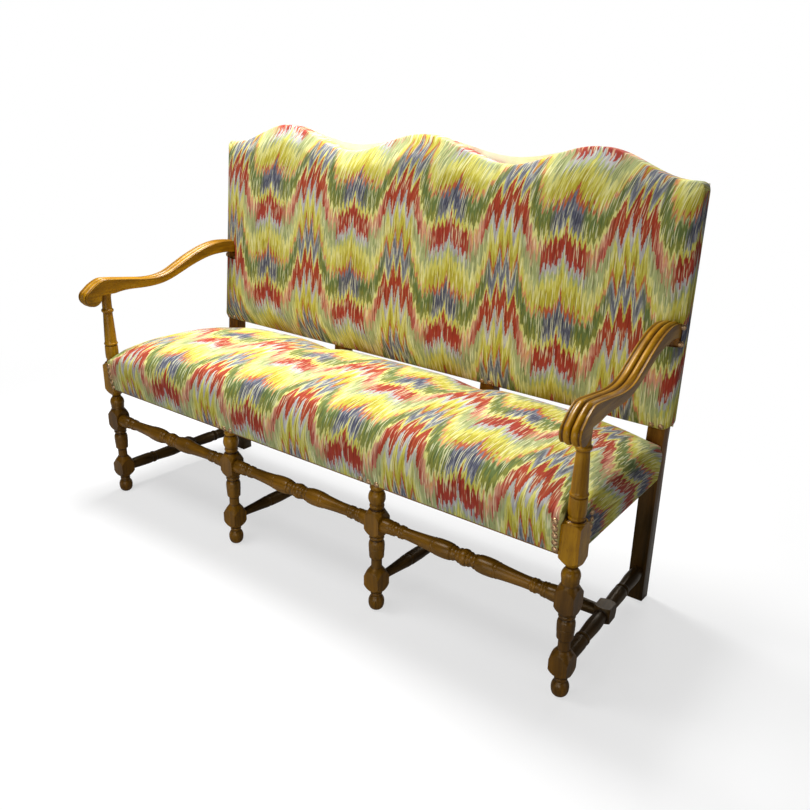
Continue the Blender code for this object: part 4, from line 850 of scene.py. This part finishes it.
# %% Build the arms
def build_arm(name, side):
    start_clean()
    bpy.ops.mesh.primitive_grid_add(x_subdivisions=len(outline), y_subdivisions=len(strips) - 1, size=1)
    arm = bpy.context.object
    deep, plain = (np.interp(np.abs(strips), *zip(*table))[:, None] / 1000 for table in (moulding, plain_edge))
    ring = list(range(len(outline))) + [0]
    share = moulded[ring]
    sunk = share * deep + (1 - share) * plain
    y, z = np.moveaxis(outline[ring] + inward[ring] * sunk[..., None], 2, 0)
    x = np.broadcast_to(strips[:, None] * arm_width / 2, y.shape)
    set_places(arm, np.dstack([x, y, z]))
    note_wood(arm, np.dstack([x + side, z, y]), share * (deep - moulding_level) / moulding_swing)
    open_mesh(arm)
    weld()
    for edge_side in (-1, 1):
        choose_edges(arm, lambda edge: edge.is_boundary and edge.verts[0].co.x * edge_side > 0)
        bpy.ops.mesh.edge_face_add()
    bpy.ops.mesh.select_all(action="SELECT")
    bpy.ops.mesh.normals_make_consistent(inside=False)
    close_mesh()
    arm.data.transform(Matrix.Translation((side * leg_x, leg_y, 0)) @ Matrix.Rotation(side * arm_skew, 4, "Z"))
    open_mesh(arm)
    bpy.ops.mesh.bisect(plane_co=(0, rear_leg_y - clearance, bend_z), plane_no=(0, cos(rake), -sin(rake)),
                        use_fill=True, clear_outer=True)
    close_mesh()
    return finish_piece(arm, "reeded_" + name, honey_wood, [name], smooth=40)


arms = [build_arm("arm_right", 1), build_arm("arm_left", -1)]
print("arms:", [len(arm.data.polygons) for arm in arms], "faces")

# %% [markdown]
# ## Square posts and rails
# The rear legs, the posts and the rails are plain sawn wood, so their shapes are right as they come. What they lack
# is the small rounding that a plane and years of wear give every edge. A copy of each is welded and bevelled. The
# rails inside the back, the webbing and the dust cover keep their shape and only get a material.

# %% Soften the sawn pieces
def soften(name, material, width):
    item = copy_piece(nodes[name])
    open_mesh(item)
    weld()
    bpy.ops.mesh.dissolve_limited(angle_limit=radians(0.6))
    close_mesh()
    bevel = item.modifiers.new("worn edges", "BEVEL")
    bevel.width, bevel.segments, bevel.angle_limit = width, 2, radians(40)
    apply_all(item)
    finish_piece(item, "softened_" + name, material, [name])


for slot, material, width, names in (
        ("dark_wood", post_wood, 0.0016,
         ("rear_leg_left", "rear_leg_right", "back_upright_left", "back_upright_right")),
        ("rail_wood", rail_wood_x, 0.001, ("front_seat_rail", "rear_seat_rail")),
        ("rail_wood", rail_wood_y, 0.001,
         ("side_seat_rail_left", "side_seat_rail_right", "cross_rail_left", "cross_rail_right"))):
    for name in names:
        soften(name, material, width)
    print("softened", *names)
for name, material in (("back_top_rail", rail_wood_x), ("back_bottom_rail", rail_wood_x), ("seat_webbing", jute),
                       ("back_webbing", jute), ("dust_cover", cambric)):
    nodes[name].data.materials.clear()
    nodes[name].data.materials.append(material)

# %% [markdown]
# ## Upholstery
# Seat and back are stuffed over the frame and covered with one cloth each. A block with a bevel would look hard, so
# each cover starts as a grid that follows a measured dome, with walls that turn down over the rails. The grid keeps
# the lengths along the cloth as its texture map, so the pattern is woven true and bends with the surface. The Cloth
# simulation then blows it up a little while its nailed edges are held, which gives the soft swell of real stuffing.

# %% Lay a cloth on a grid of places
def dome(share, root):
    return np.maximum(1 - np.abs(share) ** 4, 0) ** root


def crowded(count):
    """Grid places from -1 to 1 that crowd toward both rims."""
    even = np.linspace(-1, 1, count + 1)
    return 0.9 * np.sin(even * pi / 2) + 0.1 * even


def with_walls(places_across, places_up, rows):
    """Both directions of a grid with rows added all round, and how far out each row lies, from 0 to 1."""
    wide = [np.pad(found, rows, "edge") for found in (places_across, places_up)]
    out = []
    for found in wide:
        centre = (len(found) - 1) / 2
        out.append(np.maximum(np.abs(np.arange(len(found)) - centre) - (centre - rows), 0) / rows)
    kept = np.ones((len(wide[0]) - 1, len(wide[1]) - 1), bool)
    return np.meshgrid(*wide, indexing="ij"), out[0][:, None], out[1][None, :], kept


def cloth_lengths(grid):
    """How far each grid point lies along the cloth, across from the middle column and up from the first row."""
    across, upward = np.zeros(grid.shape[:2]), np.zeros(grid.shape[:2])
    across[1:] = np.cumsum(np.linalg.norm(np.diff(grid, axis=0), axis=2), axis=0)
    across -= across[len(grid) // 2][None, :]
    upward[:, 1:] = np.cumsum(np.linalg.norm(np.diff(grid, axis=1), axis=2), axis=1)
    return across, upward


def lay_cloth(grid, kept, across, upward):
    """A grid primitive whose corners are moved to their places; unwanted squares are deleted."""
    n, m = grid.shape[:2]
    start_clean()
    bpy.ops.mesh.primitive_grid_add(x_subdivisions=n - 1, y_subdivisions=m - 1, size=1)
    item = bpy.context.object
    set_places(item, grid.transpose(1, 0, 2).reshape(-1, 3))
    layer = item.data.uv_layers[0] if item.data.uv_layers else item.data.uv_layers.new(name="cloth")
    layer.name = "cloth"
    corner = np.empty(len(item.data.loops), np.int64)
    item.data.loops.foreach_get("vertex_index", corner)
    flat = np.stack([across.T.ravel()[corner], upward.T.ravel()[corner]], 1)
    layer.data.foreach_set("uv", flat.astype(np.float32).ravel())
    bpy.ops.object.mode_set(mode="EDIT")
    bpy.ops.mesh.select_mode(type="FACE")
    mesh = bmesh.from_edit_mesh(item.data)
    for face in mesh.faces:
        lowest = min(v.index for v in face.verts)
        face.select_set(not kept[lowest % n, lowest // n])
    bmesh.update_edit_mesh(item.data)
    if not kept.all():
        bpy.ops.mesh.delete(type="FACE")
    bpy.ops.mesh.select_mode(type="VERT")
    weld(0.00002)
    close_mesh()
    return item


def puff(item, is_held, most, pressure=4.0, frames=20):
    """Blow the cloth up with its held corners pinned, and let no corner move farther than a cap."""
    before = places(item)
    held = item.vertex_groups.new(name="held")
    held.add([int(i) for i in np.nonzero(is_held(before))[0]], 1.0, "REPLACE")
    cloth = item.modifiers.new("stuffing", "CLOTH")
    cloth.settings.quality = 6
    cloth.settings.use_pressure = True
    cloth.settings.uniform_pressure_force = pressure
    cloth.settings.effector_weights.gravity = 0
    cloth.settings.vertex_group_mass = "held"
    cloth.point_cache.frame_end = frames
    for number in range(1, frames + 1):
        bpy.context.scene.frame_set(number)
    shaped = item.evaluated_get(bpy.context.evaluated_depsgraph_get()).to_mesh()
    after = np.empty(len(shaped.vertices) * 3)
    shaped.vertices.foreach_get("co", after)
    moved = after.reshape(-1, 3) - before
    item.modifiers.remove(cloth)
    bpy.context.scene.frame_set(1)
    far = np.linalg.norm(moved, axis=1)
    set_places(item, before + moved * np.minimum(1, most / np.maximum(far, 1e-9))[:, None])
    print(item.name, "swelled by up to", round(float(min(far.max(), most)) * 1000, 1), "mm")


def thicken(item, thickness, rounds):
    """Give the cloth its thickness, on the inside, and smooth it."""
    thick = item.modifiers.new("cloth thickness", "SOLIDIFY")
    thick.thickness, thick.offset = thickness, -1
    if rounds:
        smooth = item.modifiers.new("smooth", "SUBSURF")
        smooth.levels = smooth.render_levels = rounds
    apply_all(item)


print("upholstery tools are ready")

# %% [markdown]
# ### The seat
# The bench is full at the front and falls gently to the back, with a shallow dip in front of each middle post. Two
# notches at the front corners let the arm posts through, and the cloth is rounded down toward them.

# %% Sizes of the seat
cover_low, cover_high = low_high("seat_cover")
cover_found = places(nodes["seat_cover"])
seat_front, seat_rear = cover_low.y, cover_high.y
seat_half_rear = np.abs(cover_found[cover_found[:, 1] > seat_rear - 0.02][:, 0]).max()
seat_half_front = cover_high.x
rim_z, seat_crown = 0.440, 0.074
front_hem, side_hem, rear_hem = 0.354, 0.347, 0.4295
hem_tuck, side_tuck = 0.0115, 0.0044
post_gap, block_gap = 0.0186, block_side / 2 + 0.0008
notch_x, notch_y = leg_x - post_gap, leg_y + post_gap
notch_round, notch_depth, notch_reach = 0.034, 0.030, 0.05
dip_depth, dip_half_width, rear_drop = 0.019, 0.055, 0.005
block_top = post_z + 0.004
cloth_thickness = 0.0015
print("seat from y", round(seat_front, 3), "to", round(seat_rear, 3), "half width", round(seat_half_front, 3))


# %% Shape the seat
def seat_top(u, v):
    """The stuffed top: u runs from -1 to 1 across, v from -1 at the front to 1 at the rear."""
    half = seat_half_front + (seat_half_rear - seat_half_front) * (v + 1) / 2
    x, y = u * half, seat_front + (v + 1) / 2 * (seat_rear - seat_front)
    rise = seat_crown * (dome(u, 0.40) * np.where(v < 0, dome(v, 0.38), dome(v, 0.60)))
    near = np.hypot(np.maximum(notch_x - np.abs(x), 0), np.maximum(y - notch_y, 0))
    round_off = 1 - np.sqrt(1 - (np.clip(notch_round - near, 0, notch_round) / notch_round) ** 2)
    rear = np.clip((v + 0.1) / 0.6, 0, 1) ** 2 * np.clip((1 - v) / 0.15, 0, 1)
    dips = np.exp(-((np.abs(x) - upright_x) / dip_half_width) ** 2)
    valley = rear_drop * rear * dome(u, 0.40) + dip_depth * rear * dips
    return x, y, rim_z + rise - np.minimum(notch_depth, rise * 0.85) * round_off - valley


across_places, along_places = crowded(120), crowded(56)
notch_u = notch_x / seat_half_front
notch_v = 2 * (notch_y - seat_front) / (seat_rear - seat_front) - 1
notch_i = int(np.argmin(np.abs(across_places - notch_u)))
notch_j = int(np.argmin(np.abs(along_places - notch_v)))
across_places[notch_i], across_places[-1 - notch_i] = notch_u, -notch_u
along_places[notch_j] = notch_v
skirt = 9
(u, v), out_x, out_y, kept = with_walls(across_places, along_places, skirt)
out_front, out_rear = out_y * (v < 0), out_y * (v > 0)
x, y, z = seat_top(u, v)
x = x - np.sign(u) * side_tuck * out_x ** 2
y = y + hem_tuck * out_front ** 2
for hem, out in ((side_hem, out_x), (front_hem, out_front), (rear_hem, out_rear)):
    z = z + (hem - z) * out
widen = (block_gap - post_gap) * (z < block_top)
x -= np.sign(x) * widen * np.maximum(0, 1 - np.maximum(notch_x - np.abs(x), 0) / notch_reach) * (out_front > 0)
y += widen * np.maximum(0, 1 - np.maximum(y - notch_y, 0) / notch_reach) * (out_x > 0)
left_notch, right_notch, front_notch = len(across_places) - 1 - notch_i + skirt, notch_i + skirt, notch_j + skirt
kept[:left_notch, :front_notch] = kept[right_notch:, :front_notch] = False
kept[:skirt, -skirt:] = kept[-skirt:, -skirt:] = False
seat_grid = np.dstack([x, y, z])
seat = lay_cloth(seat_grid, kept, *cloth_lengths(seat_grid))
print("seat grid:", seat_grid.shape[:2], "notch at", left_notch, right_notch, front_notch)


# %% Fill and finish the seat
def at_notch(edge):
    ends = [corner.co for corner in edge.verts]
    return (edge.is_boundary and all(abs(p.x) > notch_x - 0.001 and p.y < notch_y + 0.001 for p in ends)
            and min(p.z for p in ends) > rim_z - 0.0005)


wall_steps, wall_step = 6, 0.0135
open_mesh(seat)
bpy.ops.mesh.select_mode(type="EDGE")
choose_edges(seat, at_notch)
for step in range(wall_steps):
    bpy.ops.mesh.extrude_edges_move(TRANSFORM_OT_translate={"value": (0, 0, -wall_step)})
    mesh = bmesh.from_edit_mesh(seat.data)
    for corner in mesh.verts:
        place = corner.co
        if corner.select and place.z < block_top:
            low = (rim_z - place.z) / (rim_z - front_hem)
            if place.y < notch_y - 0.0001:
                place.x = (1 if place.x > 0 else -1) * (leg_x - block_gap)
                place.y = max(place.y, seat_front + hem_tuck * low ** 2)
            else:
                limit = seat_half_front - side_tuck * low ** 2
                place.x, place.y = min(max(place.x, -limit), limit), leg_y + block_gap
    bmesh.update_edit_mesh(seat.data)
close_mesh()
puff(seat, lambda p: (p[:, 2] < rim_z - 0.02) | ((np.abs(p[:, 0]) > notch_x - 0.006) & (p[:, 1] < notch_y + 0.006)),
     most=0.007)
thicken(seat, cloth_thickness, 1)
finish_piece(seat, "stuffed_seat", seat_cloth, ["seat_cover", "seat_padding"], smooth=60)
print("seat:", len(seat.data.polygons), "faces")

# %% [markdown]
# ### The back
# The back is one flat pad with three humps on top and rounded corners. Before it swells it lies about 19 mm proud of
# its posts, and its cloth turns round every edge of the frame. It is modelled in the raked plane of the posts and
# then leaned back.

# %% Sizes of the back
back_low, post_depth = 0.0375, 0.036
half_low, half_high, corner_round = 0.782, 0.7745, 0.020
hump, dip, dip_x, hump_x, ear_x = 1.112, 1.053, 0.262, 0.513, 0.735
rim_forward, back_crown = 0.0028, 0.016
arm_hole_low, arm_hole_high = 0.682, 0.731
lean = Matrix.Translation((0, rear_leg_y, bend_z)) @ Matrix.Rotation(-rake, 4, "X")
lean_back = lean.inverted()
print("back from", back_low, "m above the bend of the posts")


def wave(share):
    return (1 + np.cos(pi * np.clip(share, 0, 1))) / 2


def top_outline(x, between=dip):
    """The level of the top edge, given as a height along the raked back."""
    x = np.abs(x)
    swing = np.where(x < dip_x, wave(x / dip_x), wave((hump_x - x) / (hump_x - dip_x)))
    outer = dip + (hump - dip) * wave((x - hump_x) / (ear_x - hump_x))
    return (np.where(x < hump_x, between + (hump - between) * swing, outer) - bend_z) / cos(rake)


# %% Shape the back
def back_front(u, v):
    taper = (v + 1) / 2
    half = half_low + (half_high - half_low) * taper
    x = u * half
    into = np.maximum(np.abs(x) - (half - corner_round), 0)
    corner = corner_round - np.sqrt(np.maximum(corner_round ** 2 - into ** 2, 0))
    low, high = back_low + corner, top_outline(x) - corner
    return x, -rim_forward - back_crown * dome(u, 0.30) * dome(v, 0.30), low + taper * (high - low)


turned = 6
(u, v), out_x, out_y, kept = with_walls(crowded(140), crowded(48), turned)
x, y, z = back_front(u, v)
back_grid = np.dstack([x, y + (post_depth - y) * np.maximum(out_x, out_y), z])
for columns in (slice(None, turned), slice(-turned, None)):
    kept[columns, :turned] = kept[columns, -turned:] = False
across, upward = cloth_lengths(back_grid)
upward += back_low - upward[:, turned][:, None]
# The cloth is pulled a little askew: its threads lean near the top edge and, toward the left, near the bottom edge.
high = np.clip((upward - 0.46) / 0.20, 0, 1)
low = np.clip((0.15 - upward) / 0.09, 0, 1.3)
across += -0.065 * high ** 2 - 0.030 * low ** 1.5 * np.clip((0.35 - across) / 0.7, 0, 1)
back = lay_cloth(back_grid, kept, across, upward)
back.data.transform(lean)
print("back grid:", back_grid.shape[:2])


# %% Fill and finish the back
def depth_of(found):
    """How far behind the front of the posts each corner lies, measured in the raked back."""
    return (np.c_[found, np.ones(len(found))] @ np.array(lean_back.transposed()))[:, 1]


puff(back, lambda p: depth_of(p) > -rim_forward - 0.0015, most=0.005)
thicken(back, cloth_thickness, 1)
arm_x = leg_x - arm_length * tan(arm_skew)
for side in (-1, 1):
    near, far = sorted((side * (arm_x - arm_width / 2 - 0.004), side * (arm_x + arm_width / 2 + 0.003)))
    hole = make_box((near, rear_leg_y - 0.06, arm_hole_low), (far, rear_leg_y + 0.10, arm_hole_high))
    trim_with(back, hole, "DIFFERENCE")
post_places, post_half = (-rear_leg_x, -upright_x, upright_x, rear_leg_x), post_width / 2 + clearance
for x in post_places:
    box = make_box((x - post_half, -clearance, 0), (x + post_half, post_depth + 0.01, back_low + 0.02))
    box.data.transform(lean)
    trim_with(back, box, "DIFFERENCE")
finish_piece(back, "stuffed_back", back_cloth, ["back_cover", "back_padding"], smooth=60)
print("back:", len(back.data.polygons), "faces")

# %% [markdown]
# ### The outside back
# A plain cream cloth closes the back of the frame. It is drawn straighter across the dips than the front is, so a
# strip of it shows over each dip. It is a tight sheet with a folded rim, tacked all round.

# %% Stretch the cream cloth
def rim_share(share, steep):
    """0 at the rim, 1 a little way in."""
    return 1 - (1 - np.minimum(1, steep * (1 - np.abs(share)))) ** 2


lining_dip, lining_inset, lining_gap, lining_thickness, fold_height = 1.076, 0.004, 0.0009, 0.0012, 0.0016
columns, rows = 140, 28
u, v = np.meshgrid(2 * np.arange(columns + 1) / columns - 1, 2 * np.arange(rows + 1) / rows - 1, indexing="ij")
x = u * (half_low + (half_high - half_low) * (v + 1) / 2 - lining_inset)
low, high = back_low + 0.002, top_outline(x, lining_dip) - lining_inset
fold = fold_height * rim_share(u, 14) * rim_share(v, 8)
lining_grid = np.dstack([x, post_depth + lining_gap + fold, low + (v + 1) / 2 * (high - low)])
lining = lay_cloth(lining_grid, np.ones((columns, rows), bool), *cloth_lengths(lining_grid))
open_mesh(lining)
bpy.ops.mesh.flip_normals()
close_mesh()
thicken(lining, lining_thickness, 0)
lining.data.transform(lean)
finish_piece(lining, "cream_outside_back", lining_cloth, ["back_lining"])

# %% [markdown]
# ## The nails
# Domed nails hold the cloth beside the legs, under the posts and round the arms. One is modelled: a sphere cut in
# half and flattened. Each copy is driven straight in from outside until it meets the cloth, and turned to face out.

# %% Make one nail
nail_radius, nail_height, nail_sunk = 0.0076, 0.0050, 0.0002
start_clean()
bpy.ops.mesh.primitive_uv_sphere_add(segments=16, ring_count=10, radius=1, location=(0, 0, 0))
nail = bpy.context.object
open_mesh(nail)
bpy.ops.mesh.bisect(plane_co=(0, 0, 0), plane_no=(0, 0, 1), clear_inner=True, use_fill=True)
bpy.ops.mesh.select_all(action="SELECT")
bpy.ops.transform.resize(value=(nail_radius, nail_radius, nail_height), center_override=(0, 0, 0))
close_mesh()
print("one nail:", len(nail.data.polygons), "faces")


# %% Drive the nails
def surface_of(item):
    faces = [tuple(face.vertices) for face in item.data.polygons]
    return BVHTree.FromPolygons([corner.co.copy() for corner in item.data.vertices], faces)


def drive(name, surface, spots, inward, stands_for=()):
    """One piece of several nails, each driven straight in from outside its spot."""
    driven = []
    for spot in spots:
        place, facing, _, _ = surface.ray_cast(Vector(spot) - 0.06 * Vector(inward), Vector(inward), 0.2)
        if place is None:
            place, facing, _, _ = surface.find_nearest(Vector(spot))
        copy = copy_piece(nail)
        turn = facing.to_track_quat("Z", "Y").to_matrix().to_4x4()
        copy.data.transform(Matrix.Translation(place - facing * nail_sunk) @ turn)
        driven.append(copy)
    pick(driven[0])
    for copy in driven:
        copy.select_set(True)
    bpy.ops.object.join()
    finish_piece(driven[0], name, brass, stands_for, smooth=50)


seat_surface, back_surface = surface_of(seat), surface_of(back)
for side, sign in (("left", -1), ("right", 1)):
    for face, inward, shift in (("front", (0, 1, 0), (-0.0008 * sign, 0, 0)), ("side", (-sign, 0, 0), (0, 0.022, 0))):
        names = [f"nail_{side}_{face}_{i}" for i in range(1, 6)]
        spots = [middle(name) + Vector(shift) for name in names]
        drive(f"nails_at_{side}_leg_{face}", seat_surface, spots, inward, names)
extra = [(sign * (middle_leg_x + dx), seat_front, front_hem + 0.006)
         for sign in (-1, 1) for dx in (-0.030, -0.006, 0.019)]
under = [lean @ Vector((x + dx, -rim_forward, back_low + 0.008)) for x in post_places for dx in (-0.012, 0.012)]
beside = [lean @ Vector((sign * (arm_x + 0.027), -0.008, h)) for sign in (-1, 1) for h in (0.250, 0.290)]
for name, surface, spots in (("nails_at_middle_legs", seat_surface, extra), ("nails_under_back", back_surface, under),
                             ("nails_at_arms", back_surface, beside)):
    drive(name, surface, spots, (0, 1, 0))
bpy.data.objects.remove(nail, do_unlink=True)
print("nails are in")

# %% [markdown]
# ## Floor, backdrop and light
# The sofa stands on a plain white floor in soft studio light. The floor shows white to the camera and keeps part of
# its own shading near the sofa, so the sofa still has a shadow. To shiny things the floor is much darker, or else it
# would lay a grey film on the wax. Of the six lamps the strongest hangs over the left half, and a second one in front
# of it. Three weak ones low down at the front and side, and one high up behind, keep the shaded sides readable.

# %% Floor and light
start_clean()
bpy.ops.mesh.primitive_plane_add(size=24, location=(0, 0, 0))
floor = bpy.context.object
floor.name = "floor"
white, tree, shader = new_material("white floor", 0.9)
glow = put(tree, "ShaderNodeEmission", {"Color": (1, 1, 1, 1), "Strength": 1.0})
near = placed(own_place(tree), Scale=(0.62, 1, 1))
spread = wire(tree, "ShaderNodeVectorMath", {0: near}, "Value", operation="LENGTH").remap(0.5, 1.5, 0.60, 1.0)
to_camera, to_gloss = (wire(tree, "ShaderNodeLightPath", output=f"Is {kind} Ray") for kind in ("Camera", "Glossy"))
mix((0.3, 0.3, 0.3, 1), (0.9, 0.9, 0.9, 1), to_camera).into(shader.inputs["Base Color"])
seen = to_camera.math("MAXIMUM", to_gloss * 0.12)
both = put(tree, "ShaderNodeMixShader", {0: seen * spread})
for i, end in ((1, shader), (2, glow)):
    tree.links.new(end.outputs[0], both.inputs[i])
tree.links.new(both.outputs[0], tree.nodes["Material Output"].inputs["Surface"])
floor.data.materials.append(white)

world = bpy.data.worlds.new("studio")
bpy.context.scene.world = world
world.use_nodes = True
room = world.node_tree.nodes["Background"]
room.inputs["Color"].default_value = (1, 1, 1, 1)
room_level = 0.09
to_camera = wire(world.node_tree, "ShaderNodeLightPath", output="Is Camera Ray")
(to_camera * (1 - room_level) + room_level).into(room.inputs["Strength"])

# Each lamp: its place, the point that it faces, its size and its power.
for name, place, target, size, power in (
        ("top lamp", (-0.55, 0.35, 2.3), (-0.4, 0.0, 0.45), 0.8, 80),
        ("high lamp", (-0.6, -0.9, 2.3), (-0.5, 0.1, 0.8), 0.8, 19),
        ("low right lamp", (1.3, -2.2, 0.7), (0.6, -0.2, 0.4), 0.8, 9),
        ("low front lamp", (0.2, -2.0, 0.7), (-0.1, -0.2, 0.35), 1.2, 9),
        ("side lamp", (2.4, -0.15, 0.7), (0.7, -0.1, 0.6), 0.8, 3),
        ("rear lamp", (0.3, 2.3, 2.0), (0.0, 0.4, 0.7), 1.2, 24)):
    lamp = bpy.data.objects.new(name, bpy.data.lights.new(name, "AREA"))
    lamp.data.size, lamp.data.energy = size, power
    lamp.location = place
    lamp.rotation_euler = (Vector(target) - Vector(place)).to_track_quat("-Z", "Y").to_euler()
    bpy.context.scene.collection.objects.link(lamp)
